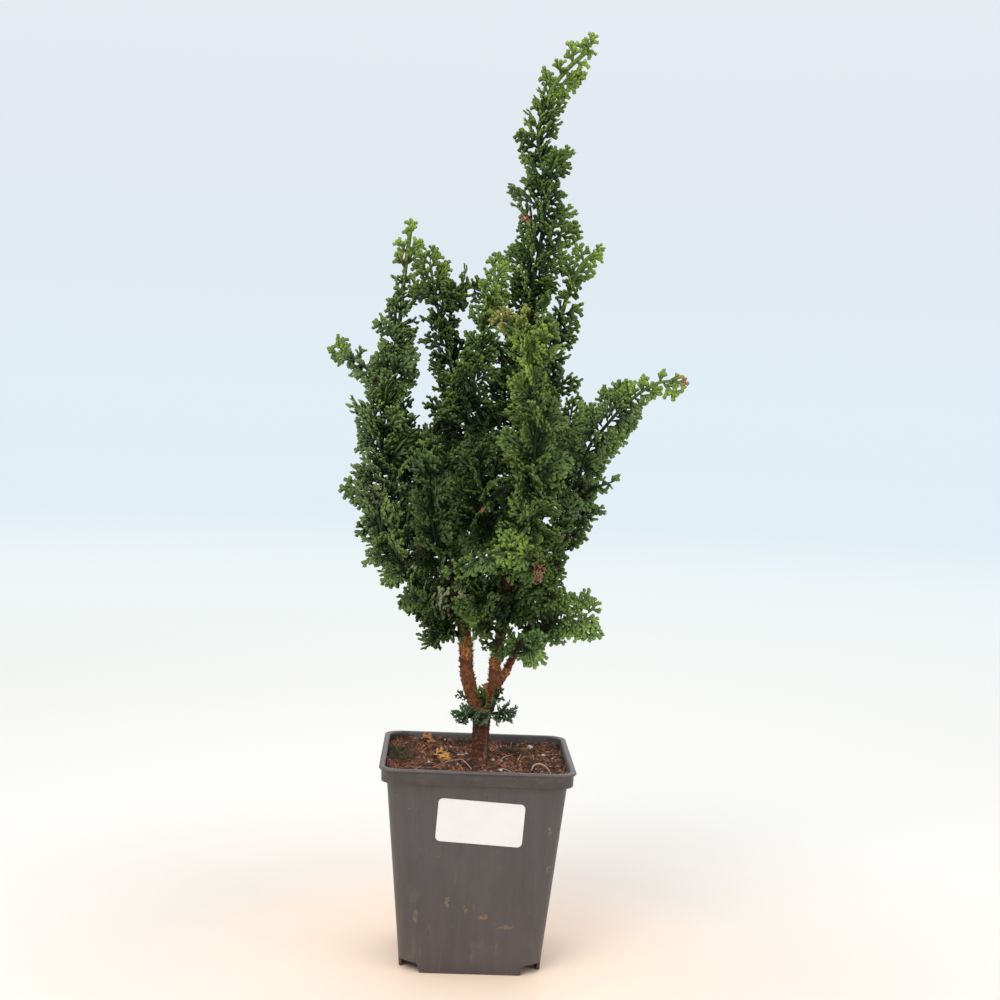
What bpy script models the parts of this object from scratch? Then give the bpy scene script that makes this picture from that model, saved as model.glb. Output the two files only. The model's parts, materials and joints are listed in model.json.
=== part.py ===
"""Hinoki cypress bonsai growing in its square nursery pot.

Metres, +Z up. The origin is the middle of the pot's foot, on the ground, and -Y is the front.
"""

import math
import random

import bmesh
import bpy
from mathutils import Matrix, Vector
from mathutils.bvhtree import BVHTree
from mathutils.kdtree import KDTree

# Driving dimensions
RIM_WIDTH = 0.090
POT_HEIGHT = 0.097
POT_TURN = math.radians(1.4)
GAP = 0.0003

# Pot, as half widths of its square outline at each height
FOOT_HALF = 0.0328
SHOULDER_HALF = 0.0413
SHOULDER_HEIGHT = 0.0900
BAND_HALF = 0.0438
LIP_HALF = RIM_WIDTH / 2
LIP_THICKNESS = 0.0014
WALL = 0.0014
FLOOR_UNDERSIDE = 0.0052
FLOOR_TOP = 0.0066
FOOT_CORNER = 0.012
RIM_CORNER = 0.008
CORNER_STEPS = 3
STEP_RISE = 0.0003
TAB_HALF_AT_GROUND = 0.0230
TAB_HALF_AT_TOP = 0.0245
CORNER_CUT_TOP = 0.0046
DRAIN_RADIUS = 0.0050
DRAIN_OFFSET = 0.0215

# Label, measured on the sloping front wall
LABEL_SIZE = (0.0396, 0.0203, 0.0003)
LABEL_CENTRE = (0.0020, 0.0727)
LABEL_TURN = math.radians(-3.0)
LABEL_CORNER = 0.0022

# Soil
SOIL_LEVEL = 0.0918
SOIL_RELIEF = 0.0011
HOLE_RADIUS = 0.0050
HOLE_BOTTOM = 0.0780
SOIL_RINGS = 5

# Wood: radii at the two ends of each stem, and hand set routes up the tree
TRUNK_X = 0.0016
BARK_RELIEF = 0.09
BURIED_RELIEF = 0.02
STEMS = {
    "trunk": (
        (0.0045, 0.0042, 10),
        [(0.0016, 0, 0.0783), (0.0016, 0, 0.092), (0.0016, 0, 0.104), (0.002, 0, 0.113), (0.003, 0, 0.119)],
    ),
    "left_stem": (
        (0.0035, 0.0015, 8),
        [
            (0.0016, 0, 0.109), (-0.0005, -0.001, 0.118), (-0.0042, -0.003, 0.1275),
            (-0.0064, -0.004, 0.1375), (-0.0072, -0.004, 0.1485), (-0.009, -0.004, 0.1585),
            (-0.012, -0.004, 0.1705), (-0.0135, -0.003, 0.183), (-0.014, -0.001, 0.198),
            (-0.013, 0.001, 0.213),
        ],
    ),
    "right_stem": (
        (0.0028, 0.0015, 7),
        [
            (0.0026, 0, 0.112), (0.005, 0.001, 0.121), (0.0066, 0.002, 0.1305),
            (0.0072, 0.003, 0.1405), (0.009, 0.003, 0.1515), (0.0103, 0.004, 0.1655),
            (0.011, 0.005, 0.1835), (0.012, 0.006, 0.2075), (0.0126, 0.007, 0.2315),
        ],
    ),
    "third_stem": (
        (0.0019, 0.0012, 6),
        [
            (0.005, 0.001, 0.1185), (0.009, 0.004, 0.1285), (0.013, 0.006, 0.135),
            (0.0165, 0.006, 0.143), (0.020, 0.006, 0.151), (0.0257, 0.005, 0.1625),
            (0.031, 0.003, 0.1755), (0.035, 0.001, 0.187),
        ],
    ),
}

# Shoots: colour, style, where the leaves begin as a share of the route, reach of the fans at the
# start, middle and end, and hand set routes that start inside the wood
SHOOTS = {
    "leader": (
        "green", "plume", 0.20, (0.015, 0.0155, 0.008),
        [
            (0.0126, 0.007, 0.2315), (0.014, 0.008, 0.262), (0.015, 0.008, 0.295),
            (0.017, 0.007, 0.3255), (0.018, 0.006, 0.3485), (0.019, 0.005, 0.3685),
            (0.019, 0.004, 0.3855), (0.021, 0.003, 0.3985), (0.026, 0.002, 0.4105), (0.033, 0, 0.421),
            (0.0395, -0.002, 0.429),
        ],
    ),
    "golden_shoot": (
        "tip_green", "plume", 0.12, (0.014, 0.015, 0.010),
        [
            (0.0103, 0.004, 0.1625), (0.012, -0.010, 0.173), (0.0155, -0.024, 0.1865),
            (0.018, -0.036, 0.203), (0.020, -0.043, 0.2225), (0.0205, -0.046, 0.2415),
            (0.020, -0.047, 0.2605), (0.018, -0.046, 0.277), (0.014, -0.045, 0.289),
            (0.0085, -0.047, 0.296), (0.003, -0.050, 0.298),
        ],
    ),
    "right_plume": (
        "tip_green", "plume", 0.06, (0.014, 0.015, 0.007),
        [
            (0.035, 0.001, 0.187), (0.041, -0.005, 0.204), (0.045, -0.013, 0.2245),
            (0.0485, -0.022, 0.240), (0.0535, -0.031, 0.2525), (0.060, -0.041, 0.262),
            (0.0675, -0.051, 0.269), (0.0748, -0.058, 0.272), (0.0790, -0.062, 0.2735),
        ],
    ),
    "left_shoot": (
        "green", "plume", 0.10, (0.014, 0.015, 0.007),
        [
            (-0.012, -0.004, 0.1705), (-0.024, -0.002, 0.1785), (-0.037, 0.004, 0.190),
            (-0.0465, 0.010, 0.2065), (-0.051, 0.014, 0.2275), (-0.051, 0.017, 0.250),
            (-0.051, 0.019, 0.270), (-0.049, 0.020, 0.288), (-0.046, 0.020, 0.3035),
            (-0.0435, 0.019, 0.319), (-0.0425, 0.018, 0.3345), (-0.0415, 0.016, 0.345),
        ],
    ),
    "second_left_shoot": (
        "deep_green", "plume", 0.10, (0.013, 0.013, 0.007),
        [
            (-0.014, -0.001, 0.197), (-0.018, 0.007, 0.2135), (-0.022, 0.013, 0.2375),
            (-0.0245, 0.015, 0.262), (-0.0245, 0.014, 0.2855), (-0.0265, 0.011, 0.307),
            (-0.030, 0.008, 0.327),
        ],
    ),
    "centre_shoot": (
        "green", "plume", 0.08, (0.012, 0.012, 0.007),
        [
            (-0.013, 0.001, 0.213), (-0.012, -0.003, 0.236), (-0.010, -0.006, 0.262),
            (-0.008, -0.007, 0.285), (-0.005, -0.006, 0.303), (-0.002, -0.005, 0.317),
            (-0.002, -0.004, 0.327),
        ],
    ),
    "right_upper_shoot": (
        "green", "plume", 0.12, (0.013, 0.013, 0.006),
        [
            (0.012, 0.006, 0.2075), (0.0195, 0.013, 0.2255), (0.0265, 0.017, 0.252),
            (0.0305, 0.016, 0.280), (0.0335, 0.013, 0.3025), (0.0365, 0.010, 0.3175),
            (0.042, 0.007, 0.328), (0.048, 0.005, 0.334),
        ],
    ),
    "front_shelf": (
        "tip_green", "shelf", 0.16, (0.014, 0.015, 0.012),
        [
            (0.0297, 0.0035, 0.1725), (0.028, -0.010, 0.176), (0.0255, -0.024, 0.183),
            (0.0235, -0.037, 0.192), (0.016, -0.047, 0.1985), (0.006, -0.052, 0.198),
            (-0.004, -0.054, 0.194), (-0.0125, -0.053, 0.190),
        ],
    ),
    "front_left_shoot": (
        "green", "plume", 0.14, (0.014, 0.015, 0.010),
        [
            (-0.0132, -0.003, 0.180), (-0.0175, -0.017, 0.187), (-0.022, -0.031, 0.199),
            (-0.025, -0.039, 0.214), (-0.0265, -0.042, 0.230), (-0.026, -0.041, 0.247),
        ],
    ),
    "front_centre_shoot": (
        "deep_green", "plume", 0.14, (0.014, 0.015, 0.010),
        [
            (0.0112, 0.005, 0.187), (0.005, -0.012, 0.195), (0, -0.026, 0.207),
            (-0.003, -0.034, 0.220), (-0.004, -0.037, 0.234), (-0.002, -0.037, 0.249),
        ],
    ),
    "low_left_shoot": (
        "green", "plume", 0.14, (0.013, 0.015, 0.010),
        [
            (-0.0105, -0.004, 0.165), (-0.020, -0.011, 0.170), (-0.032, -0.018, 0.178),
            (-0.043, -0.023, 0.189), (-0.049, -0.025, 0.203), (-0.051, -0.025, 0.216),
        ],
    ),
    "low_right_shoot": (
        "green", "plume", 0.16, (0.012, 0.014, 0.010),
        [
            (0.0273, 0.004, 0.166), (0.033, -0.008, 0.170), (0.0385, -0.018, 0.177),
            (0.041, -0.027, 0.188), (0.042, -0.034, 0.200), (0.042, -0.037, 0.212),
        ],
    ),
    "left_skirt": (
        "deep_green", "shelf", 0.14, (0.013, 0.015, 0.012),
        [
            (-0.010, -0.004, 0.160), (-0.0165, -0.015, 0.163), (-0.024, -0.027, 0.168),
            (-0.031, -0.038, 0.172),
        ],
    ),
    "middle_skirt": (
        "deep_green", "shelf", 0.14, (0.013, 0.015, 0.012),
        [(0.0098, 0.0035, 0.159), (0.006, -0.012, 0.163), (0.002, -0.027, 0.168), (-0.001, -0.040, 0.172)],
    ),
    "right_skirt": (
        "tip_green", "shelf", 0.14, (0.012, 0.013, 0.010),
        [
            (0.020, 0.006, 0.151), (0.027, 0, 0.156), (0.0345, -0.008, 0.1615), (0.042, -0.014, 0.165),
            (0.048, -0.018, 0.167),
        ],
    ),
    "low_left_tail": (
        "deep_green", "shelf", 0.16, (0.011, 0.013, 0.010),
        [
            (-0.0078, -0.004, 0.152), (-0.016, -0.006, 0.1555), (-0.025, -0.008, 0.158),
            (-0.034, -0.008, 0.160),
        ],
    ),
    "hanging_tail": (
        "deep_green", "shelf", 0.20, (0.010, 0.011, 0.010),
        [
            (-0.0073, -0.004, 0.149), (-0.0125, -0.012, 0.152), (-0.0185, -0.018, 0.151),
            (-0.0235, -0.021, 0.147),
        ],
    ),
    "low_centre_tail": (
        "green", "shelf", 0.20, (0.009, 0.010, 0.008),
        [(0.0085, 0.003, 0.149), (0.007, -0.008, 0.153), (0.005, -0.018, 0.154), (0.0035, -0.026, 0.152)],
    ),
    "low_right_tail": (
        "tip_green", "shelf", 0.16, (0.010, 0.012, 0.010),
        [(0.015, 0.006, 0.139), (0.0175, -0.003, 0.1435), (0.021, -0.013, 0.146), (0.025, -0.021, 0.145)],
    ),
    "back_left_shoot": (
        "green", "plume", 0.14, (0.014, 0.015, 0.010),
        [
            (-0.0136, -0.003, 0.1855), (-0.018, 0.014, 0.1935), (-0.025, 0.030, 0.2085),
            (-0.029, 0.040, 0.228), (-0.028, 0.044, 0.248), (-0.026, 0.043, 0.262),
        ],
    ),
    "back_right_shoot": (
        "green", "plume", 0.12, (0.014, 0.016, 0.010),
        [
            (0.0118, 0.0055, 0.1975), (0.016, 0.022, 0.2065), (0.0215, 0.037, 0.224),
            (0.0245, 0.045, 0.247), (0.0245, 0.047, 0.270), (0.0225, 0.045, 0.289),
            (0.020, 0.042, 0.302),
        ],
    ),
    "back_centre_shoot": (
        "deep_green", "plume", 0.14, (0.014, 0.015, 0.010),
        [
            (0.011, 0.005, 0.181), (0.006, 0.022, 0.191), (0, 0.038, 0.2075), (-0.003, 0.050, 0.228),
            (-0.003, 0.052, 0.248),
        ],
    ),
    "back_middle_skirt": (
        "deep_green", "shelf", 0.14, (0.013, 0.015, 0.012),
        [(0.010, 0.004, 0.163), (0.007, 0.020, 0.166), (0.003, 0.036, 0.171), (0, 0.050, 0.176)],
    ),
    "back_left_skirt": (
        "green", "shelf", 0.12, (0.013, 0.015, 0.012),
        [
            (-0.0112, -0.004, 0.1675), (-0.019, 0.010, 0.171), (-0.029, 0.024, 0.176),
            (-0.0385, 0.036, 0.185), (-0.044, 0.044, 0.197),
        ],
    ),
    "back_right_skirt": (
        "green", "shelf", 0.12, (0.013, 0.015, 0.012),
        [
            (0.024, 0.005, 0.159), (0.028, 0.018, 0.163), (0.033, 0.031, 0.170), (0.037, 0.041, 0.182),
            (0.038, 0.047, 0.197),
        ],
    ),
    "back_low_skirt": (
        "deep_green", "shelf", 0.16, (0.011, 0.013, 0.011),
        [(-0.0088, -0.004, 0.157), (-0.014, 0.009, 0.159), (-0.019, 0.022, 0.161), (-0.024, 0.034, 0.163)],
    ),
    "side_left_shoot": (
        "green", "plume", 0.16, (0.013, 0.015, 0.009),
        [
            (-0.0138, -0.002, 0.1925), (-0.025, 0.012, 0.201), (-0.035, 0.026, 0.215),
            (-0.041, 0.036, 0.231), (-0.043, 0.041, 0.249), (-0.044, 0.041, 0.262),
        ],
    ),
    "side_right_shoot": (
        "green", "plume", 0.12, (0.013, 0.015, 0.009),
        [
            (0.0335, 0.002, 0.182), (0.040, 0.014, 0.190), (0.0445, 0.024, 0.204),
            (0.0455, 0.029, 0.221), (0.044, 0.029, 0.237),
        ],
    ),
    "fork_left_tuft": (
        "deep_green", "tuft", 0.30, (0.006, 0.006, 0.006),
        [(0.0008, 0, 0.1125), (-0.004, -0.005, 0.1145), (-0.0085, -0.008, 0.115)],
    ),
    "fork_right_tuft": (
        "deep_green", "tuft", 0.30, (0.006, 0.006, 0.006),
        [(0.0036, 0, 0.1145), (0.009, -0.003, 0.1165), (0.0145, -0.005, 0.1165)],
    ),
    "crotch_tuft": (
        "green", "tuft", 0.40, (0.004, 0.004, 0.004),
        [(0.003, 0, 0.1185), (0.0025, -0.0055, 0.1215), (0.001, -0.008, 0.1265)],
    ),
}

# Side shoots that grow from a shoot and share its node
SIDE_SHOOTS = {
    "left_shoot": (
        0.10, (0.009, 0.009, 0.006),
        [
            (-0.051, 0.018, 0.262), (-0.056, 0.028, 0.271), (-0.0635, 0.041, 0.2785),
            (-0.0725, 0.054, 0.282), (-0.0785, 0.060, 0.283),
        ],
    ),
    "second_left_shoot": (
        0.16, (0.007, 0.007, 0.005),
        [(-0.0245, 0.014, 0.284), (-0.022, 0.012, 0.300), (-0.0185, 0.010, 0.314), (-0.0145, 0.008, 0.322)],
    ),
}

# Withered fans inside the crown, laid out as the shoots are
WITHERED = {
    "withered_spray": (
        "withered", "tuft", 0.55, (0.006, 0.006, 0.006),
        [(0.0325, 0.0025, 0.1795), (0.032, -0.010, 0.185), (0.031, -0.020, 0.190), (0.0295, -0.028, 0.193)],
    ),
}

# Sprays stand round a shoot in whorls of cupped fans, each fan cut into fingers. A finger's length is a
# share of its whorl's reach, and rise is the angle that a fan leans forward along the shoot by.
WHORL_STEP = 0.0123
FANS_PER_WHORL = {"plume": 3, "shelf": 2, "tuft": 2}
FINGERS = 3
FINGER_SHARES = (0.86, 1.0, 0.84)
NOTCH_SHARE = 0.50
GULLY_SHARE = 0.26
RISE_LOW = math.radians(34)
RISE_HIGH = math.radians(54)
FAN_SHIFT = 0.26
FAN_SIZES = (0.74, 1.16)
FINGER_SIZES = (0.88, 1.10)
RING_TWIST = math.radians(7)
SETTLE_ROUNDS = 60
SETTLE_SHARE = 0.16
SHELF_FLATNESS = 0.50
TAPER_FROM = 0.6
END_GAP = 0.003
BARE_LEAST = 0.004
CORE_RADIUS = 0.0026
FOOT_RADIUS = 0.0012
TIP_RADIUS = 0.0008
BARE_STEP = 0.020
NEIGHBOUR_MARGIN = 0.0015
SAMPLE_STEP = 0.002
REACH_STEP = 0.0005
SIDE_FOOT = 0.0015
FOOT_SEARCH = 0.016
FOOT_SEARCH_STEP = 0.0002
FOOT_SIDES = 6
WOOD_STEP = 0.0095

# A flat fan of branchlets ends each of the long shoots
FAN_TIPPED = (
    "leader",
    "golden_shoot",
    "right_plume",
    "left_shoot",
    "second_left_shoot",
    "centre_shoot",
    "right_upper_shoot",
)
FAN_THICKNESS = 0.0007
FAN_SPREAD = math.radians(62)
FAN_FINGERS = 5
PALM_PLACE = 0.36
FINGER_REACH = 0.64
FINGER_FALL = 0.14
NOTCH_REACH = 0.29
NECK_REACH = 0.10
FINGER_HALF_ANGLE = math.radians(8)
ROOT_HALF_WIDTH = 0.0007
TIP_FAN_ROOT = 0.004
TIP_FAN_SIZE = 1.5
FAN_DROOP = (-0.1, 0.1)
FAN_CUP = (0.05, 0.2)
UNION_TRIES = 6
SEED = 11

COLOURS = {
    "green": (0.045, 0.105, 0.028),
    "tip_green": (0.085, 0.170, 0.035),
    "deep_green": (0.024, 0.064, 0.024),
    "withered": (0.170, 0.070, 0.030),
    "bark": (0.150, 0.062, 0.030),
    "pot_plastic": (0.075, 0.072, 0.070),
    "label_paper": (0.880, 0.880, 0.870),
    "peat": (0.110, 0.050, 0.028),
}
ROUGHNESS = {"pot_plastic": 0.42, "label_paper": 0.55, "peat": 0.95, "bark": 0.85}


def clear_scene():
    for old in list(bpy.data.objects):
        bpy.data.objects.remove(old, do_unlink=True)


def material(name):
    """A plain material of the named colour."""
    made = bpy.data.materials.get(name)
    if made:
        return made
    made = bpy.data.materials.new(name)
    made.use_nodes = True
    shader = made.node_tree.nodes["Principled BSDF"]
    shader.inputs["Base Color"].default_value = (*COLOURS[name], 1)
    shader.inputs["Roughness"].default_value = ROUGHNESS.get(name, 0.6)
    shader.inputs["Metallic"].default_value = 0
    return made


def add_object(name, mesh, colour=None, collection=None):
    made = bpy.data.objects.new(name, mesh)
    (collection or bpy.context.scene.collection).objects.link(made)
    if colour:
        mesh.materials.clear()
        mesh.materials.append(material(colour))
    return made


def mesh_from(name, points, faces):
    mesh = bpy.data.meshes.new(name)
    mesh.from_pydata([tuple(p) for p in points], [], faces)
    mesh.validate()
    return mesh


def loft(name, rings):
    """A closed mesh through rings of equal length, the first and last filled."""
    count = len(rings[0])
    points = [p for ring in rings for p in ring]
    faces = [tuple(reversed(range(count)))]
    for row in range(len(rings) - 1):
        low = row * count
        for i in range(count):
            j = (i + 1) % count
            faces.append((low + i, low + j, low + count + j, low + count + i))
    last = (len(rings) - 1) * count
    faces.append(tuple(last + i for i in range(count)))
    return mesh_from(name, points, faces)


def rounded_square(half, corner, height):
    """Points of a square with round corners, anticlockwise, at one height."""
    points = []
    for quarter in range(4):
        middle = math.radians(45 + 90 * quarter)
        reach = (half - corner) * math.sqrt(2)
        centre = Vector((math.cos(middle) * reach, math.sin(middle) * reach, height))
        for step in range(CORNER_STEPS + 1):
            angle = math.radians(90 * quarter + 90 * step / CORNER_STEPS)
            points.append(centre + Vector((math.cos(angle), math.sin(angle), 0)) * corner)
    return points


def wall_half(height):
    """Half width of the pot's outer wall at a height."""
    return FOOT_HALF + (SHOULDER_HALF - FOOT_HALF) * height / SHOULDER_HEIGHT


def evaluated_copy(source):
    graph = bpy.context.evaluated_depsgraph_get()
    return bpy.data.meshes.new_from_object(source.evaluated_get(graph))


def apply_boolean(base, others, operation):
    """The mesh of base with the others joined to it or cut from it by one Boolean."""
    group = bpy.data.collections.new("others")
    bpy.context.scene.collection.children.link(group)
    for other in others:
        group.objects.link(other)
        bpy.context.scene.collection.objects.unlink(other)
    boolean = base.modifiers.new("combine", "BOOLEAN")
    boolean.operation = operation
    boolean.operand_type = "COLLECTION"
    boolean.collection = group
    boolean.solver = "EXACT"
    mesh = evaluated_copy(base)
    base.modifiers.remove(boolean)
    for other in others:
        bpy.data.objects.remove(other, do_unlink=True)
    bpy.data.collections.remove(group)
    keep_largest_shell(mesh)
    return mesh


def open_places(mesh):
    """Middles of the edges that don't have just two faces."""
    shape = bmesh.new()
    shape.from_mesh(mesh)
    places = [(e.verts[0].co + e.verts[1].co) / 2 for e in shape.edges if len(e.link_faces) != 2]
    shape.free()
    return places


def keep_largest_shell(mesh):
    """Drops sealed hollows and loose scraps, then splits every face into triangles."""
    shape = bmesh.new()
    shape.from_mesh(mesh)
    bmesh.ops.triangulate(shape, faces=shape.faces[:])
    unseen = set(shape.faces)
    shells = []
    while unseen:
        front = [unseen.pop()]
        shell = set(front)
        while front:
            face = front.pop()
            for edge in face.edges:
                for other in edge.link_faces:
                    if other in unseen:
                        unseen.discard(other)
                        shell.add(other)
                        front.append(other)
        shells.append(shell)
    shells.sort(key=len)
    scraps = [face for shell in shells[:-1] for face in shell]
    if scraps:
        bmesh.ops.delete(shape, geom=scraps, context="FACES")
        loose = [v for v in shape.verts if not v.link_faces]
        bmesh.ops.delete(shape, geom=loose, context="VERTS")
    shape.to_mesh(mesh)
    shape.free()


def shade(made, angle=math.radians(35)):
    made.data.shade_smooth()
    made.data.set_sharp_from_angle(angle=angle)


def corner_cutter(inner, outer, low, high, lean):
    """A cutter for one corner of the skirt, whose inner sides lean outwards by lean from bottom to top."""
    rings = []
    for start, z in ((inner, low), (inner + lean, high)):
        square = ((start, start), (outer, start), (outer, outer), (start, outer))
        rings.append([Vector((x, y, z)) for x, y in square])
    return add_object("cutter", loft("cutter", rings))


def drain(x, y):
    """A round cutter that goes through the pot's floor."""
    sides = 8
    rings = []
    for height in (FLOOR_UNDERSIDE - 0.001, FLOOR_TOP + 0.001):
        ring = []
        for i in range(sides):
            angle = 2 * math.pi * i / sides
            outward = Vector((math.cos(angle), math.sin(angle), 0))
            ring.append(Vector((x, y, height)) + outward * DRAIN_RADIUS)
        rings.append(ring)
    return add_object("drain", loft("drain", rings))


def make_pot():
    lip_bottom = POT_HEIGHT - LIP_THICKNESS
    inner_corner = RIM_CORNER - WALL / 2
    outline = [
        (FOOT_HALF, FOOT_CORNER, 0),
        (SHOULDER_HALF, RIM_CORNER, SHOULDER_HEIGHT),
        (BAND_HALF, RIM_CORNER, SHOULDER_HEIGHT + STEP_RISE),
        (BAND_HALF, RIM_CORNER, lip_bottom - STEP_RISE),
        (LIP_HALF, RIM_CORNER, lip_bottom),
        (LIP_HALF, RIM_CORNER, POT_HEIGHT - STEP_RISE),
        (LIP_HALF - STEP_RISE, RIM_CORNER, POT_HEIGHT),
        (BAND_HALF - WALL, inner_corner, POT_HEIGHT),
        (BAND_HALF - WALL, inner_corner, SHOULDER_HEIGHT + STEP_RISE + WALL),
        (SHOULDER_HALF - WALL, inner_corner, SHOULDER_HEIGHT + STEP_RISE),
        (wall_half(FLOOR_TOP) - WALL, FOOT_CORNER - WALL, FLOOR_TOP),
    ]
    pot = add_object("pot", loft("pot", [rounded_square(*row) for row in outline]), "pot_plastic")
    under = [
        (FOOT_HALF - WALL, FOOT_CORNER - WALL, -0.001),
        (wall_half(FLOOR_UNDERSIDE) - WALL, FOOT_CORNER - WALL, FLOOR_UNDERSIDE),
    ]
    hollow = add_object("hollow", loft("hollow", [rounded_square(*row) for row in under]))
    lean = TAB_HALF_AT_TOP - TAB_HALF_AT_GROUND
    corners = []
    drains = []
    for quarter in range(4):
        block = corner_cutter(TAB_HALF_AT_GROUND, LIP_HALF * 1.1, -STEP_RISE * 4, CORNER_CUT_TOP, lean)
        block.data.transform(Matrix.Rotation(math.radians(90 * quarter), 4, "Z"))
        corners.append(block)
        hole = drain(DRAIN_OFFSET, DRAIN_OFFSET)
        hole.data.transform(Matrix.Rotation(math.radians(90 * quarter), 4, "Z"))
        drains.append(hole)
    for cutters in ([hollow], corners, drains):
        pot.data = apply_boolean(pot, cutters, "DIFFERENCE")
    pot.rotation_euler.z = POT_TURN
    shade(pot)


def make_label():
    """A thin plate with round corners, laid on the front wall's slope."""
    width, height, thickness = LABEL_SIZE
    outline = []
    for quarter in range(4):
        sign_x = 1 if quarter in (0, 3) else -1
        sign_y = 1 if quarter < 2 else -1
        centre = Vector((sign_x * (width / 2 - LABEL_CORNER), sign_y * (height / 2 - LABEL_CORNER), 0))
        for step in range(4):
            angle = math.radians(90 * quarter + 30 * step)
            outline.append(centre + Vector((math.cos(angle), math.sin(angle), 0)) * LABEL_CORNER)
    rings = [[p + Vector((0, 0, lift)) for p in outline] for lift in (GAP, GAP + thickness)]
    made = add_object("label", loft("label", rings), "label_paper")
    slope = math.atan((SHOULDER_HALF - FOOT_HALF) / SHOULDER_HEIGHT)
    across, up = LABEL_CENTRE
    place = Matrix.Translation((across, -wall_half(up), up))
    lean = Matrix.Rotation(math.radians(90) + slope, 4, "X")
    made.data.transform(place @ lean @ Matrix.Rotation(LABEL_TURN, 4, "Z"))
    made.rotation_euler.z = POT_TURN
    shade(made)


def soil_height(x, y):
    """Uneven top of the soil, a little higher at the back and the left."""
    ripple = math.sin(210 * x + 1.1) * math.cos(170 * y + 0.6) + 0.6 * math.sin(420 * x - 380 * y)
    return SOIL_LEVEL + SOIL_RELIEF * ripple + 0.018 * y - 0.010 * x


def make_soil():
    """The root ball, with a plain blind hole for the trunk."""
    low = FLOOR_TOP + GAP
    hole_centre = Vector((TRUNK_X, 0, 0))
    inner = WALL + GAP
    rings = []
    bottom = rounded_square(wall_half(low) - inner, FOOT_CORNER - inner, low)
    top = rounded_square(SHOULDER_HALF - inner - 0.0006, RIM_CORNER - 0.001, SHOULDER_HEIGHT - 0.0045)
    rings.append(bottom)
    rings.append(top)
    edge = rounded_square(SHOULDER_HALF - inner - 0.0010, RIM_CORNER - 0.001, 0)
    first = math.radians(45 - 45 * CORNER_STEPS / (CORNER_STEPS + 1))
    rim = []
    for i in range(len(edge)):
        angle = first + 2 * math.pi * i / len(edge)
        rim.append(hole_centre + Vector((math.cos(angle), math.sin(angle), 0)) * HOLE_RADIUS)
    for row in range(SOIL_RINGS + 1):
        share = row / SOIL_RINGS
        ring = []
        for outer, middle in zip(edge, rim):
            point = outer.lerp(middle, share)
            height = soil_height(point.x, point.y)
            ring.append(Vector((point.x, point.y, height)))
        rings.append(ring)
    rings.append([Vector((p.x, p.y, HOLE_BOTTOM)) for p in rim])
    made = add_object("soil", loft("soil", rings), "peat")
    made.rotation_euler.z = POT_TURN
    shade(made)


def smooth_route(corners, per_span=10):
    """A Catmull-Rom curve through the hand set points."""
    knots = [Vector(c) for c in corners]
    first = knots[0] * 2 - knots[1]
    last = knots[-1] * 2 - knots[-2]
    padded = [first] + knots + [last]
    curve = []
    for a, b, c, d in zip(padded, padded[1:], padded[2:], padded[3:]):
        for step in range(per_span):
            t = step / per_span
            square = 2 * a - 5 * b + 4 * c - d
            cube = 3 * b - a - 3 * c + d
            curve.append(0.5 * (2 * b + (c - a) * t + square * t ** 2 + cube * t ** 3))
    curve.append(knots[-1])
    return curve


class Route:
    """A smooth route that can be read at any length along it."""

    def __init__(self, corners):
        self.points = smooth_route(corners)
        self.marks = [0.0]
        for a, b in zip(self.points, self.points[1:]):
            self.marks.append(self.marks[-1] + (b - a).length)
        self.length = self.marks[-1]
        self.sides = [self.first_side()]
        for mark in self.marks[1:]:
            heading = self.heading(mark)
            side = self.sides[-1]
            self.sides.append((side - heading * side.dot(heading)).normalized())

    def first_side(self):
        """A level direction square to the start of the route, or one along X where the start is upright."""
        heading = self.heading(0)
        level = heading.cross(Vector((0, 0, 1)))
        if level.length < 0.3:
            level = Vector((1, 0, 0)) - heading * heading.x
        return level.normalized()

    def side(self, distance):
        for mark, side in zip(self.marks, self.sides):
            if mark >= distance:
                heading = self.heading(distance)
                return (side - heading * side.dot(heading)).normalized()
        return self.sides[-1]

    def at(self, distance):
        distance = min(max(distance, 0), self.length)
        for i in range(1, len(self.marks)):
            if self.marks[i] >= distance:
                span = self.marks[i] - self.marks[i - 1]
                share = (distance - self.marks[i - 1]) / span
                return self.points[i - 1].lerp(self.points[i], share)
        return self.points[-1]

    def heading(self, distance):
        step = 0.001
        return (self.at(distance + step) - self.at(distance - step)).normalized()


def tube(name, route, start, end, radius_at, sides, step, relief=0.0, draw=None):
    """A closed tube along part of a route; relief makes its skin uneven."""
    rows = max(2, round((end - start) / step) + 1)
    rings = []
    for row in range(rows):
        distance = start + (end - start) * row / (rows - 1)
        centre = route.at(distance)
        heading = route.heading(distance)
        side = route.side(distance)
        other = heading.cross(side)
        ring = []
        for i in range(sides):
            angle = 2 * math.pi * i / sides
            rough = 1 + (draw.uniform(-relief, relief) if draw and 0 < row < rows - 1 else 0)
            radius = radius_at(row / (rows - 1)) * rough
            ring.append(centre + (side * math.cos(angle) + other * math.sin(angle)) * radius)
        rings.append(ring)
    return loft(name, rings)


def blend(low, high, share):
    return low + (high - low) * share


def make_wood():
    """The trunk and the stems that grow from it, as one."""
    draw = random.Random(SEED)
    pieces = []
    for name, ((low, high, sides), corners) in STEMS.items():
        route = Route(corners)

        def radius_at(share, low=low, high=high):
            return blend(low, high, share)

        relief = BURIED_RELIEF if name == "trunk" else BARK_RELIEF
        skin = tube(name, route, 0, route.length, radius_at, sides, WOOD_STEP, relief, draw)
        pieces.append(add_object(name, skin))
    base = pieces[0]
    mesh = apply_boolean(base, pieces[1:], "UNION")
    bpy.data.objects.remove(base, do_unlink=True)
    made = add_object("trunk_and_stems", mesh, "bark")
    shade(made)
    return made


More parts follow.
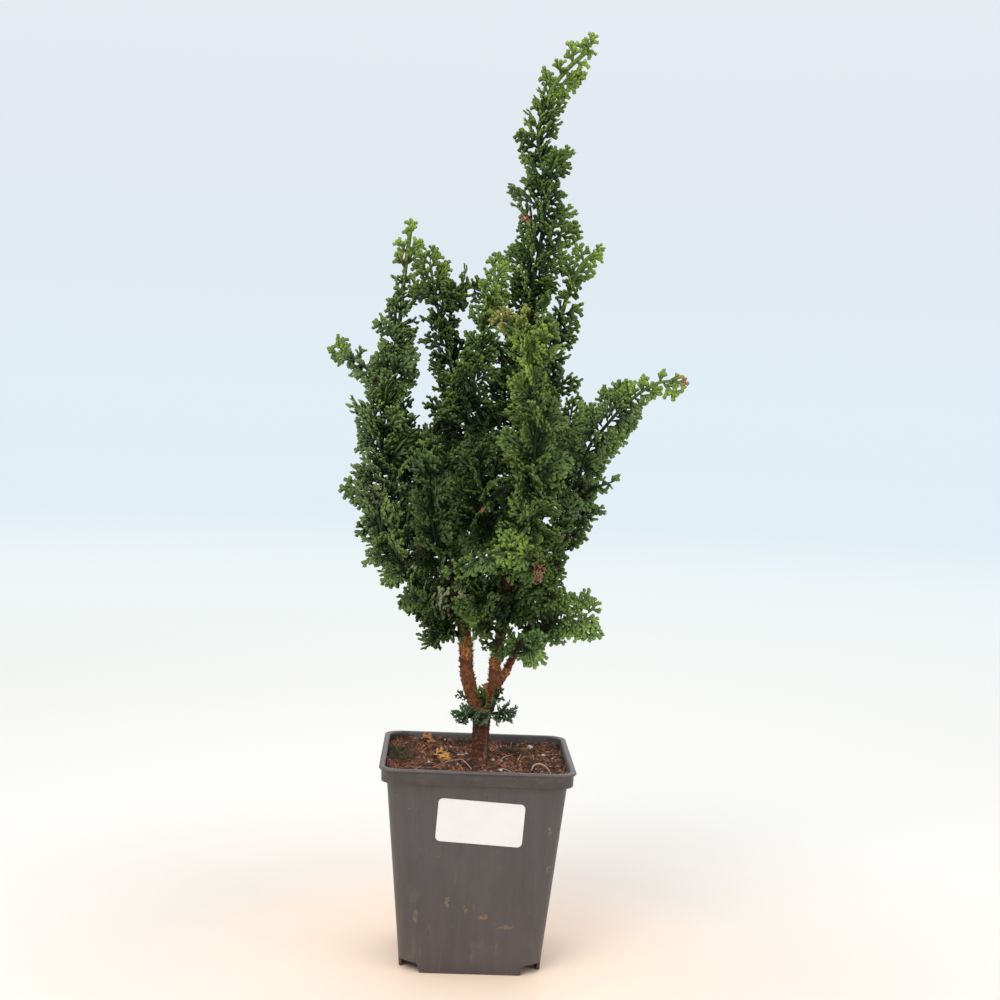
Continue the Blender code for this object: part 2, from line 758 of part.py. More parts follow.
class Fan:
    """One flat spray of branchlets: a cupped blade cut into blunt fingers."""

    def __init__(self, root, heading, face, length, droop, cup):
        self.root = root
        self.heading = heading
        self.face = face
        self.across = face.cross(heading).normalized()
        self.length = length
        self.droop = droop
        self.cup = cup

    def place(self, u, v, lift):
        bend = self.droop * u * u / self.length + self.cup * v * v / self.length
        return self.root + self.heading * u + self.across * v + self.face * (bend + lift)

    def outline(self):
        """Points of the blade's edge as distances along and across it."""
        palm = self.length * PALM_PLACE
        neck = (palm * 0.78, self.length * NECK_REACH)
        polar = []
        for k in range(FAN_FINGERS):
            angle = FAN_SPREAD * (2 * k / (FAN_FINGERS - 1) - 1)
            reach = self.length * (FINGER_REACH - FINGER_FALL * abs(angle) / FAN_SPREAD)
            for lean in (-FINGER_HALF_ANGLE, FINGER_HALF_ANGLE):
                polar.append((angle + lean, reach))
            if k < FAN_FINGERS - 1:
                polar.append((angle + FAN_SPREAD / (FAN_FINGERS - 1), self.length * NOTCH_REACH))
        edge = [(palm + r * math.cos(a), r * math.sin(a)) for a, r in polar]
        return [(0, -ROOT_HALF_WIDTH), (neck[0], -neck[1])] + edge + [neck, (0, ROOT_HALF_WIDTH)], palm

    def mesh_data(self, thickness):
        edge, palm = self.outline()
        count = len(edge)
        points = []
        for lift in (thickness / 2, -thickness / 2):
            points.append(self.place(palm, 0, lift))
            points.extend(self.place(u, v, lift) for u, v in edge)
        lower = count + 1
        faces = []
        for i in range(count):
            j = (i + 1) % count
            faces.append((0, 1 + i, 1 + j))
            faces.append((lower, lower + 1 + j, lower + 1 + i))
            faces.append((1 + i, lower + 1 + i, lower + 1 + j))
            faces.append((1 + i, lower + 1 + j, 1 + j))
        return points, faces


def as_tree(mesh):
    return BVHTree.FromPolygons([v.co for v in mesh.vertices], [tuple(p.vertices) for p in mesh.polygons])


def clear_foot(route, wood):
    """How far along its route a shoot's foot first stands clear of the wood."""

    def foot_radius(_):
        return FOOT_RADIUS + GAP * 0.5

    clear = FOOT_SEARCH
    while clear > FOOT_SEARCH_STEP:
        start = clear - FOOT_SEARCH_STEP
        probe = tube("probe", route, start - GAP, start + 0.001, foot_radius, FOOT_SIDES, BARE_STEP)
        meets = as_tree(probe).overlap(wood)
        bpy.data.meshes.remove(probe)
        if meets:
            break
        clear = start
    return clear


def kd_tree(points):
    tree = KDTree(len(points))
    for i, point in enumerate(points):
        tree.insert(point, i)
    tree.balance()
    return tree


def samples(route, start, end):
    count = max(2, math.ceil((end - start) / SAMPLE_STEP))
    return [route.at(start + (end - start) * i / count) for i in range(count + 1)]


class Space:
    """Shares the space of the crown out between the shoots, each up to half way to its neighbours."""

    def __init__(self, shoots, feet):
        self.stems = []
        for (low, high, _), corners in STEMS.values():
            route = Route(corners)
            points = samples(route, 0, route.length)
            self.stems.append((kd_tree(points), len(points), low, high))
        self.lines = {}
        for name, shoot in shoots.items():
            route = Route(shoot[4])
            points = samples(route, feet[name], route.length)
            if name in SIDE_SHOOTS:
                side = Route(SIDE_SHOOTS[name][2])
                points += samples(side, 0, side.length)
            self.lines[name] = points
        self.own = {name: kd_tree(points) for name, points in self.lines.items()}
        self.others = {}
        for name in self.lines:
            rest = [p for other, points in self.lines.items() if other != name for p in points]
            self.others[name] = kd_tree(rest)

    def is_free(self, name, point):
        own = self.own[name].find(point)[2]
        other = self.others[name].find(point)[2]
        if own > other - NEIGHBOUR_MARGIN:
            return False
        for tree, count, low, high in self.stems:
            _, index, distance = tree.find(point)
            radius = blend(low, high, index / (count - 1))
            if distance < radius * 1.15 + NEIGHBOUR_MARGIN * 0.7:
                return False
        return True

    def reach(self, name, centre, direction, wanted):
        """The longest reach up to the wanted one that stays on the shoot's own side."""
        reach = wanted
        while reach > TIP_RADIUS and not self.is_free(name, centre + direction * reach):
            reach -= REACH_STEP
        return max(reach, TIP_RADIUS)


def reach_at(reach, share):
    start, middle, end = reach
    if share < 0.5:
        return blend(start, middle, share * 2)
    return blend(middle, end, share * 2 - 1)


def frame_at(route, distance):
    heading = route.heading(distance)
    side = route.side(distance)
    return route.at(distance), heading, side, heading.cross(side)


class Whorls:
    """The rings of points up one leafy shoot, from its foot to its tip."""

    def __init__(self, name, route, style, reach, space, draw):
        self.name = name
        self.route = route
        self.style = style
        self.reach = reach
        self.space = space
        self.draw = draw
        self.fans = FANS_PER_WHORL[style]
        self.count = 2 * FINGERS * self.fans
        self.rings = []
        self.homes = []

    def directions(self, distance):
        """The route's place, and the outward and forward directions of each point of a ring there."""
        centre, heading, side, other = frame_at(self.route, distance)
        twist = RING_TWIST * len(self.rings) if self.style == "plume" else 0
        spokes = []
        for i in range(self.count):
            angle = twist + 2 * math.pi * (i + 0.5) / self.count
            flat = 1
            if self.style != "plume":
                flat = math.hypot(math.cos(angle), SHELF_FLATNESS * math.sin(angle))
            spokes.append((side * math.cos(angle) + other * math.sin(angle), flat))
        return centre, heading, spokes

    def add_round(self, distance, radius, shifts=None):
        """A ring round the core, kept to the shoot's own side where it is thicker than the foot."""
        centre, heading, spokes = self.directions(distance)
        ring = []
        home = []
        for i, (outward, _) in enumerate(spokes):
            reach = radius
            if radius > FOOT_RADIUS:
                reach = self.space.reach(self.name, centre, outward, radius)
            ring.append(centre + heading * (shifts[i] if shifts else 0) + outward * reach)
            home.append(centre + outward * reach)
        self.rings.append(ring)
        self.homes.append(home)

    def add_whorl(self, distance, reach, radius, step, turn):
        """A ring at the core, then the cut edge of its fans: fingers, notches, and gullies between fans."""
        draw = self.draw
        per_fan = 2 * FINGERS
        sizes = [draw.uniform(*FAN_SIZES) for _ in range(self.fans)]
        rises = [math.tan(draw.uniform(RISE_LOW, RISE_HIGH)) for _ in range(self.fans)]
        moves = [draw.uniform(-FAN_SHIFT, FAN_SHIFT) * step for _ in range(self.fans)]
        fan_of = [divmod((i + turn) % self.count, per_fan) for i in range(self.count)]
        shifts = [moves[fan] for fan, _ in fan_of]
        self.add_round(distance, radius, shifts)
        centre, heading, spokes = self.directions(distance)
        ring = []
        home = []
        for i, (outward, flat) in enumerate(spokes):
            fan, place = fan_of[i]
            share = NOTCH_SHARE
            if place % 2 == 0:
                share = FINGER_SHARES[place // 2] * draw.uniform(*FINGER_SIZES)
            if place == per_fan - 1:
                share = GULLY_SHARE
            direction = outward + heading * rises[fan]
            wanted = reach * sizes[fan] * share * flat * direction.length
            start = centre + heading * shifts[i]
            found = self.space.reach(self.name, start, direction.normalized(), wanted)
            ring.append(start + direction.normalized() * max(found, radius * 1.2))
            home.append(centre + (outward + heading).normalized() * min(found, radius) * 1.2)
        self.rings.append(ring)
        self.homes.append(home)

    def build(self, foot, bare):
        end = self.route.length - END_GAP
        first = max(self.route.length * bare, foot + BARE_LEAST)
        steps = max(1, round((first - foot) / BARE_STEP))
        for step in range(steps):
            self.add_round(foot + (first - foot) * step / steps, FOOT_RADIUS)
        whorls = max(1, round((end - first) / WHORL_STEP))
        step = (end - first) / whorls
        for whorl in range(whorls):
            share = (whorl + 0.5) / whorls
            radius = blend(CORE_RADIUS, TIP_RADIUS, max(0, share - TAPER_FROM) / (1 - TAPER_FROM))
            turn = whorl * FINGERS + self.draw.randrange(0, 2) * 2
            self.add_whorl(first + step * (whorl + 0.25), reach_at(self.reach, share), radius, step, turn)
        self.add_round(end, TIP_RADIUS)
        return self.settled_mesh()

    def triangles(self):
        count = self.count
        faces = [(0, i + 1, i) for i in range(1, count - 1)]
        for row in range(len(self.rings) - 1):
            low = row * count
            high = low + count
            for i in range(count):
                j = (i + 1) % count
                faces.append((low + i, low + j, high + j))
                faces.append((low + i, high + j, high + i))
        last = (len(self.rings) - 1) * count
        faces.extend((last, last + i, last + i + 1) for i in range(1, count - 1))
        return faces

    def settled_mesh(self):
        """The mesh through the rings, where points that cross each other are drawn home to the core."""
        faces = self.triangles()
        for _ in range(SETTLE_ROUNDS):
            points = [point for ring in self.rings for point in ring]
            tree = BVHTree.FromPolygons(points, faces)
            pairs = [(set(faces[a]), set(faces[b])) for a, b in tree.overlap(tree)]
            crossing = {i for first, second in pairs if not first & second for i in first | second}
            if not crossing:
                break
            for i in crossing:
                row, place = divmod(i, self.count)
                self.rings[row][place] = self.rings[row][place].lerp(self.homes[row][place], SETTLE_SHARE)
        return mesh_from(self.name, points, faces)


def tip_fan(route, reach, draw):
    """The flat fan that a long shoot ends in, with its face to the front."""
    distance = route.length - TIP_FAN_ROOT
    centre, heading, _, _ = frame_at(route, distance)
    face = Vector((0, -1, 0)) + heading * heading.y
    droop = draw.uniform(*FAN_DROOP)
    cup = draw.uniform(*FAN_CUP)
    return Fan(centre, heading, face.normalized(), reach[2] * TIP_FAN_SIZE, droop, cup)


def leafy_pieces(name, route, foot, bare, reach, style, space, draw):
    """The whorls of one route and the fan at its tip, as separate objects."""
    pieces = [add_object("whorls", Whorls(name, route, style, reach, space, draw).build(foot, bare))]
    if name in FAN_TIPPED:
        fan = tip_fan(route, reach, draw)
        pieces.append(add_object("fan", mesh_from("fan", *fan.mesh_data(FAN_THICKNESS))))
    return pieces


def make_shoot(name, shoot, foot, space, number):
    """One leafy shoot as a closed body; where its union leaves an open edge, it is drawn again."""
    colour, style, bare, reach, corners = shoot
    for attempt in range(UNION_TRIES):
        draw = random.Random(SEED * 100 + number + 1000 * attempt)
        pieces = leafy_pieces(name, Route(corners), foot, bare, reach, style, space, draw)
        if name in SIDE_SHOOTS:
            side_bare, side_reach, side_corners = SIDE_SHOOTS[name]
            side = Route(side_corners)
            pieces += leafy_pieces(name, side, SIDE_FOOT, side_bare, side_reach, style, space, draw)
        mesh = apply_boolean(pieces[0], pieces[1:], "UNION") if len(pieces) > 1 else pieces[0].data
        bpy.data.objects.remove(pieces[0], do_unlink=True)
        if not open_places(mesh):
            break
    shade(add_object(name, mesh, colour), math.radians(25))


def make_shoots(wood):
    """Every leafy shoot, as one closed body each."""
    shoots = {**SHOOTS, **WITHERED}
    wood_tree = as_tree(wood.data)
    feet = {name: clear_foot(Route(shoot[4]), wood_tree) for name, shoot in shoots.items()}
    space = Space(shoots, feet)
    for number, (name, shoot) in enumerate(shoots.items()):
        make_shoot(name, shoot, feet[name], space, number)


def main():
    clear_scene()
    make_pot()
    make_label()
    make_soil()
    make_shoots(make_wood())


main()
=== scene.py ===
"""Looks of a hinoki cypress bonsai in its square nursery pot, laid out as a Blender add-on."""

import json
import math
import random

import bmesh
import bpy
import numpy as np
from bpy.props import FloatProperty, FloatVectorProperty, IntProperty, PointerProperty
from mathutils import Matrix, Vector, noise

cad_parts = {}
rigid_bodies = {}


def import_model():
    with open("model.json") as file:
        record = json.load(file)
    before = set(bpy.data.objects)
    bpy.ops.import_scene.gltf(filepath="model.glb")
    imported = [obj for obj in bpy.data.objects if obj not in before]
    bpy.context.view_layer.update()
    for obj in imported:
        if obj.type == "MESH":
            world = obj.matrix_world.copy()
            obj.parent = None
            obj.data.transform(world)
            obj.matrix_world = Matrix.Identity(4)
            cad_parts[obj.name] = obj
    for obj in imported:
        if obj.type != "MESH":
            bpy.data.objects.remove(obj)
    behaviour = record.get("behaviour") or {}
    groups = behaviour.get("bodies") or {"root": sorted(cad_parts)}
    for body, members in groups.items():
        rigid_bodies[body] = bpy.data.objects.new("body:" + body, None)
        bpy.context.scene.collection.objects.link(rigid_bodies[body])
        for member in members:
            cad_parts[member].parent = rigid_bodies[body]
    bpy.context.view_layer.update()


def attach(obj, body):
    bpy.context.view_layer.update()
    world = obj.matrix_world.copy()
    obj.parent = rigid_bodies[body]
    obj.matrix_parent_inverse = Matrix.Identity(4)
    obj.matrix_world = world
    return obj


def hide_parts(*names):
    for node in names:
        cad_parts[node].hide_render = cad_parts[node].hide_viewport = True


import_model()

bl_info = {
    "name": "Cypress bonsai in its pot",
    "version": (1, 0, 0),
    "blender": (4, 5, 0),
    "location": "3D View > Sidebar > Bonsai",
    "description": "Builds the pot, soil, wood and leafy sprays of a small hinoki cypress",
    "category": "Object",
}

MILLIMETRES = 1000  # in a metre
ALONG_X = Vector((1, 0, 0))
ALONG_Y = Vector((0, 1, 0))
ALONG_Z = Vector((0, 0, 1))

# Pot: half widths of the square outline at each height, and its corners
POT_HEIGHT = 0.097
POT_TURN = math.radians(1.4)
FOOT_HALF = 0.0328
SHOULDER_HALF = 0.0413
SHOULDER_HEIGHT = 0.0900
BAND_HALF = 0.0438
LIP_HALF = 0.045
LIP_THICKNESS = 0.0014
WALL = 0.0014
WALL_ROWS = 12
FLOOR_UNDERSIDE = 0.0052
FLOOR_TOP = 0.0066
FOOT_CORNER = 0.012
RIM_CORNER = 0.008
STEP_RISE = 0.0003
TAB_HALF_AT_GROUND = 0.0230
TAB_HALF_AT_TOP = 0.0245
CORNER_CUT_TOP = 0.0046
CORNER_CUT_SOFT = 0.0012
DRAIN_RADIUS = 0.0050
DRAIN_OFFSET = 0.0215
DRAIN_SIDES = 28
EDGE_BEVEL = 0.00018
EDGE_ANGLE = math.radians(50)
DRIED_MUD = (0.320, 0.178, 0.085)
LIME_SPECK = (0.42, 0.40, 0.38)

# Label on the sloping front wall
LABEL_SIZE = (0.0396, 0.0203, 0.0003)
LABEL_CENTRE = (0.0020, 0.0727)
LABEL_TURN = math.radians(-3.0)
LABEL_CORNER = 0.0022
GAP = 0.0003

# Soil
SOIL_LEVEL = 0.0929
SOIL_RELIEF = 0.0011
SOIL_EDGE_LEVEL = 0.0921
SOIL_ROWS = 52
SOIL_POINTS = 200
TRUNK_X = 0.0016
BARE_RING = 0.00448
SPRIG_LENGTH = 0.0085
SPRIG_WIDTH = 0.0013
LITTER_SHAPES = 8
TWIG = (0.0206, 0.0392, 0.0960, 0.008)
YELLOW_SPRIG = (-0.0165, 0.0015, 0.0950, 0.011)

# Bark
TRUNK_TOP = (0.108, 0.120)
TRUNK_FOOT = 0.0905
FLARE = 0.0009
FLARE_HEIGHT = 0.006
STUBS_ABOVE = (0.118, 0.094)
STREAK_X = 0.0040
STREAK_EDGES = (0.0003, 0.0011)
RIDGE_STEP = 0.0021
BARK_SHAPES = 4
OLD_BARK = (0.050, 0.014, 0.007)
GREY_STREAK = (0.36, 0.27, 0.22)

# Tables of places and routes, all in millimetres and degrees

# Moss on the soil: middle and radius of each patch
MOSS_PLACES = [
    (-37, 8, 0, 8), (-39, -8, 0, 8), (-33, -8, 0, 5), (-6.5, 34, 0, 7), (18, 14, 0, 5), (-39.5, 39, 0, 5),
]

# Thin roots and a twig on the soil: thickness and route, with heights above the soil
ROOTS = [
    (0.3, [
        (-18.9, -18.2, 0.8), (-15, -12, 1.6), (-11.2, -8, 1.8), (-7.3, -8.5, 1.8), (-4.4, -14, 1.3),
        (-1.8, -19.5, 0.3),
    ]),
    (0.24, [(11.1, -4.5, 0.4), (12.6, 5, 0.9), (16, 8, 0.8), (18.8, 12, 0.4)]),
    (0.22, [(18.9, -2.5, 0.4), (20.5, 6, 1), (21.6, 14, 0.7), (24.4, 31, 0.5)]),
    (0.44, [
        (25.9, -16, 0.3), (27.2, -12, 1.4), (29.5, -10, 2), (31.8, -11.5, 1.9), (33.7, -16, 1.1),
        (34.9, -23.7, 0.3),
    ]),
    (0.22, [(-33, -23, 0.4), (-26, -21, 0.9), (-20, -24, 0.4)]),
    (0.2, [(8, -25, 0.4), (12, -23.5, 1), (17, -26, 0.5)]),
    (0.3, [(20.2, 39, 0.2), (20, 39.2, 2.2), (19.8, 39.2, 3.6), (20.3, 39, 4.6)]),
]

# Dead sprigs on the soil: place, turn, lean and roll in degrees, and size
DEAD_SPRIGS = [
    (-19.3, 31, 168, 26, -40, 1), (-21.2, 32.5, 150, 12, -30, 0.7), (-30.2, 17.5, 8, 4, 35, 0.8),
    (-21.3, 1.5, -5, 4, 24, 0.95), (-18.5, 2.5, 25, 10, 22, 0.7), (-11.5, -0.5, 165, 6, -26, 0.8),
    (-16.5, 0, -40, 4, 22, 0.6), (21.5, 23, 20, 8, 30, 0.45), (30, 12, 60, 8, 20, 0.35),
    (2, -12, 10, 8, 20, 0.3),
]

# Pale stones and perlite that stand out: place, size and flatness
PALE_STONES = [
    (25.9, 28.5, 1.4, 0.85), (-30, 30, 0.8, 0.8), (-12.6, 22.5, 1, 0.6), (-8.7, 7.8, 1, 0.5),
    (-6.7, 7, 0.8, 0.5), (-4.8, 8.2, 0.9, 0.5), (8, 0.2, 0.9, 0.8), (32.5, 17.5, 1, 0.8),
    (36.6, 11.2, 0.8, 0.6), (11.5, -24.5, 0.9, 0.7), (13.5, -26.5, 0.6, 0.8), (21, -4, 0.6, 0.8),
]

# Dried mud on the front wall: place across and up, and half sizes
MUD_PLACES = [
    (-10.7, 34.5, 1, 3), (-25.1, 26.7, 1, 3.1), (6.4, 27.7, 2.4, 1.1), (16.5, 23, 3.4, 0.8),
    (-2.4, 31.6, 1.2, 1.8), (34.7, 69.3, 0.9, 2), (35.1, 51.2, 0.9, 1.8),
]

# Wood: radii at the two ends of each stem, and routes up the tree
STEMS = {
    "trunk": ((4.2, 4.1), [(1.6, 0, 78.3), (1.6, 0, 92), (1.6, 0, 104), (2, 0, 113), (3, 0, 119)]),
    "left_stem": ((3.5, 1.5), [
        (1.6, 0, 109), (-0.5, -1, 118), (-4.2, -3, 127.5), (-6.4, -4, 137.5), (-7.2, -4, 148.5),
        (-9, -4, 158.5), (-12, -4, 170.5), (-13.5, -3, 183), (-14, -1, 198), (-13, 1, 213),
    ]),
    "right_stem": ((2.8, 1.5), [
        (2.6, 0, 112), (5, 1, 121), (6.6, 2, 130.5), (7.2, 3, 140.5), (9, 3, 151.5), (10.3, 4, 165.5),
        (11, 5, 183.5), (12, 6, 207.5), (12.6, 7, 231.5),
    ]),
    "third_stem": ((2.1, 1.2), [
        (5, 1, 118.5), (8.8, 4, 128.5), (12.5, 6, 135), (16.1, 6, 143), (20, 6, 151), (25.7, 5, 162.5),
        (31, 3, 175.5), (35, 1, 187),
    ]),
    "fork_stub": ((1.4, 0.9), [(3.6, -0.5, 119.5), (3.4, -1.8, 124), (2.9, -2.4, 127.5), (2.6, -2.6, 130)]),
}

# Where orange bark peels: middle and radius of each patch
FLAKY_PLACES = [
    (-7.2, -4, 147.5, 7.5), (2.8, -2.4, 128.5, 3.5), (8.5, 0, 116, 3), (4, -1, 121.5, 4.5),
    (9.2, 2, 140, 6), (1, -3, 116.5, 3.5), (-10.5, -4, 163, 4.5), (12, 5, 134.5, 3.5),
]

# Shoots: finish, style, where the leaves begin as a share of the route, reach of the sprays at the
# start, middle and end, and routes that start inside the wood
SHOOTS = {
    "leader": ("tipped", "plume", 0.2, (14, 15.2, 5.8), [
        (12.6, 7, 231.5), (14, 8, 262), (15.5, 8, 295), (18.5, 7, 325.5), (21.5, 6, 348.5),
        (21.2, 5, 368.5), (17.4, 4, 386.5), (19, 3, 400), (23.2, 2, 411), (29.5, 0, 419.5),
        (38, -2, 427.5),
    ]),
    "golden_shoot": ("golden", "crest", 0.12, (14, 15, 6), [
        (10.3, 4, 162.5), (12, -10, 173), (15.5, -24, 186.5), (18, -36, 203), (20, -43, 222.5),
        (20.5, -46, 241.5), (20, -47, 260.5), (18.2, -46, 276.5), (14.5, -45, 288), (9, -47, 295.5),
        (3, -50, 298.5),
    ]),
    "right_plume": ("cool", "feather", 0.04, (9, 13.2, 5.6), [
        (35, 1, 187), (39.5, -5, 206), (42, -13, 228), (46, -21, 244.5), (52.1, -29, 254),
        (58.4, -37, 262.5), (65.1, -45, 269.5), (71.9, -52, 274.5), (79, -58, 276.2),
    ]),
    "left_shoot": ("cool", "plume", 0.1, (14, 16.2, 4.6), [
        (-12, -4, 170.5), (-24, -2, 178.5), (-37, 4, 190), (-46.5, 10, 206.5), (-51, 14, 227.5),
        (-51, 17, 250), (-49.5, 19, 270), (-47, 20, 288), (-45, 20, 303.5), (-44, 19, 319),
        (-42.7, 18, 333), (-41.7, 16, 343),
    ]),
    "second_left_shoot": ("deep", "crest", 0.1, (13, 11.8, 8), [
        (-14, -1, 197), (-16.5, 7, 213.5), (-17.5, 13, 237.5), (-17.5, 15, 262), (-21, 14, 285.5),
        (-27, 11, 307), (-31.5, 8, 328.5),
    ]),
    "centre_shoot": ("tipped", "crest", 0.08, (14, 13, 6), [
        (-13, 1, 213), (-12, -3, 236), (-10, -6, 262), (-6.5, -7, 285), (-3, -6, 303), (-0.8, -5, 318),
        (-0.8, -4, 327.5),
    ]),
    "right_upper_shoot": ("tipped", "plume", 0.12, (10, 12.2, 4.4), [
        (12, 6, 207.5), (18.5, 13, 225.5), (24.5, 17, 252), (27.5, 16, 280), (31.5, 13, 302.5),
        (35.5, 10, 319), (41, 7, 330.5), (47.5, 5, 336.5),
    ]),
    "front_shelf": ("tipped", "fan", 0.16, (7, 8.8, 4.2), [
        (29.7, 3.5, 172.5), (28, -10, 176), (25.5, -24, 183), (23.5, -37, 191), (16, -47, 196.5),
        (6, -52, 196.5), (-4, -54, 192.5), (-13.5, -53, 188),
    ]),
    "front_left_shoot": ("deep", "bush", 0.14, (13, 13.5, 8), [
        (-13.2, -3, 180), (-17.5, -17, 187), (-22, -31, 199), (-25, -39, 214), (-26.5, -41, 229),
        (-26, -40, 243),
    ]),
    "front_centre_shoot": ("deep", "bush", 0.14, (14, 15, 10), [
        (11.2, 5, 187), (5, -12, 195), (0, -26, 207), (-3, -34, 220), (-4, -36, 233), (-3, -36, 244),
    ]),
    "low_left_shoot": ("cool", "bush", 0.14, (9, 13, 10), [
        (-10.5, -4, 165), (-20, -11, 170), (-32, -18, 180), (-41.5, -23, 191), (-48, -25, 204),
        (-51, -25, 217),
    ]),
    "low_right_shoot": ("green", "bush", 0.16, (8, 6.5, 9), [
        (27.3, 4, 166), (29, -8, 170), (30, -18, 177), (30.5, -27, 188), (32, -34, 200), (34.5, -37, 212),
    ]),
    "left_skirt": ("deep", "shelf", 0.14, (13, 11, 7), [
        (-10, -4, 160), (-16, -15, 164), (-22.5, -27, 170), (-28.5, -37, 174),
    ]),
    "middle_skirt": ("deep", "shelf", 0.14, (13, 15, 12), [
        (9.8, 3.5, 159), (6, -12, 163), (2, -27, 168), (-1, -40, 172),
    ]),
    "right_skirt": ("fresh", "fan", 0.14, (10, 11, 8.5), [
        (20, 6, 151), (27, 0, 156), (34.5, -8, 161.5), (42, -14, 165), (48.5, -18, 167),
    ]),
    "low_left_tail": ("deep", "shelf", 0.16, (9, 9, 6), [
        (-7.8, -4, 152), (-16, -6, 156.5), (-25, -8, 160.5), (-34, -8, 165),
    ]),
    "hanging_tail": ("deep", "shelf", 0.2, (9, 9, 6), [
        (-7.3, -4, 150), (-12.5, -12, 154.5), (-18, -18, 154.5), (-22, -21, 151),
    ]),
    "low_centre_tail": ("green", "fan", 0.2, (8, 8, 6), [
        (8.5, 3, 151), (6, -8, 157.5), (1, -18, 160), (-2, -26, 159),
    ]),
    "low_right_tail": ("fresh", "fan", 0.16, (10, 10, 7), [
        (15, 6, 140.5), (17, -3, 146.5), (20, -13, 150.5), (24, -21, 150.5),
    ]),
    "back_left_shoot": ("green", "bush", 0.14, (14, 15, 6), [
        (-13.6, -3, 185.5), (-18, 14, 193.5), (-25, 30, 208.5), (-29, 40, 228), (-26, 44, 246),
        (-23, 43, 257),
    ]),
    "back_right_shoot": ("green", "bush", 0.12, (14, 16, 10), [
        (11.8, 5.5, 197.5), (16, 22, 206.5), (21.5, 37, 224), (24.5, 45, 247), (24.5, 47, 270),
        (22.5, 45, 289), (20, 42, 302),
    ]),
    "back_centre_shoot": ("deep", "bush", 0.14, (14, 15, 10), [
        (11, 5, 181), (6, 22, 191), (0, 38, 207.5), (-3, 50, 228), (-3, 52, 248),
    ]),
    "back_middle_skirt": ("deep", "shelf", 0.14, (13, 15, 12), [
        (10, 4, 163), (7, 20, 166), (3, 36, 171), (0, 50, 176),
    ]),
    "back_left_skirt": ("green", "shelf", 0.12, (13, 15, 12), [
        (-11.2, -4, 167.5), (-19, 10, 171), (-29, 24, 176), (-38.5, 36, 185), (-44, 44, 197),
    ]),
    "back_right_skirt": ("green", "shelf", 0.12, (11, 10, 8), [
        (24, 5, 159), (26, 18, 163), (27.5, 31, 170), (28.5, 41, 182), (29.5, 47, 197),
    ]),
    "back_low_skirt": ("deep", "shelf", 0.16, (11, 13, 11), [
        (-8.8, -4, 157), (-14, 9, 159), (-19, 22, 161), (-24, 34, 163),
    ]),
    "side_left_shoot": ("green", "bush", 0.16, (13, 15, 6), [
        (-13.8, -2, 192.5), (-25, 12, 201), (-35, 26, 215), (-41, 36, 231), (-43, 41, 249), (-44, 41, 262),
    ]),
    "side_right_shoot": ("green", "bush", 0.12, (7, 12, 11), [
        (33.5, 2, 182), (36.5, 14, 190), (40.5, 24, 204), (42.5, 29, 221), (41.5, 28, 237),
        (38.5, 24, 253),
    ]),
    "fork_left_tuft": ("shaded", "tuft", 0.2, (5.5, 6, 4), [
        (0.8, 0, 112.5), (-4, -5, 115), (-8.5, -7, 115.5),
    ]),
    "fork_right_tuft": ("shaded", "tuft", 0.25, (5, 5.5, 4.5), [
        (3.6, 0, 114.5), (9, -3, 116.5), (14.5, -5, 116.5),
    ]),
    "crotch_tuft": ("green", "tuft", 0.4, (4, 4, 4), [(3, 0, 118.5), (2.5, -5.5, 121.5), (1, -8, 126.5)]),
}

# Side shoots that grow from a shoot and share its node: share without leaves, reach and route
SIDE_SHOOTS = {
    "left_shoot": [
        (0.1, (9, 9, 6), [
            (-51, 18, 262), (-56, 28, 271), (-63.5, 41, 279), (-72.5, 54, 283.2), (-78.5, 60, 284.5),
        ]),
    ],
    "right_plume": [
        (0.15, (5, 6.5, 4), [(43, -11, 219), (48, -16, 224.5), (53, -20, 227.5), (56, -22, 228.5)]),
    ],
    "second_left_shoot": [
        (0.12, (9, 9, 6), [
            (-21, 14, 284.5), (-21, 12, 302), (-18.5, 10, 314.5), (-13, 7, 317.5), (-7, 3, 315.5),
        ]),
    ],
    "golden_shoot": [
        (0.1, (9, 9.5, 6), [(18.5, -46, 274), (21.5, -46, 284), (24, -45, 293), (25, -45, 297.5)]),
        (0.1, (8, 8, 5), [(17, -46, 281), (16, -48, 289), (14, -50, 296.5), (13, -51, 300)]),
    ],
    "middle_skirt": [
        (0.1, (7, 10, 8), [(9.8, 3.5, 164), (6, -12, 172), (0, -25, 178.5), (-7, -35, 180)]),
    ],
    "fork_left_tuft": [
        (0.1, (4.5, 5, 4), [(-1, -4, 114), (1, -7, 115), (3, -8, 115.5)]),
    ],
    "low_centre_tail": [
        (0.3, (4, 6, 4), [(10, 2, 150), (8, -3, 151), (5.2, -8, 150.5), (3, -10, 149.5)]),
    ],
    "crotch_tuft": [
        (0.45, (3, 3, 2), [(-3, -1, 121.5), (-6.2, -3.5, 123.5), (-8.8, -4, 124.5)]),
        (0.4, (3, 3.5, 3), [(5.5, 1, 120), (8.5, -1.5, 123.5), (9.8, -2, 126.5)]),
    ],
}

# Withered fans inside the crown, laid out as the shoots are
WITHERED = {
    "withered_spray": ("withered", "tuft", 0.72, (3.4, 4.2, 3.6), [
        (32.5, 2.5, 179.5), (31.5, -12, 185), (28.5, -26, 192.5), (25.5, -35, 195.5), (24.5, -38, 192.5),
        (24.2, -38.5, 188),
    ]),
}

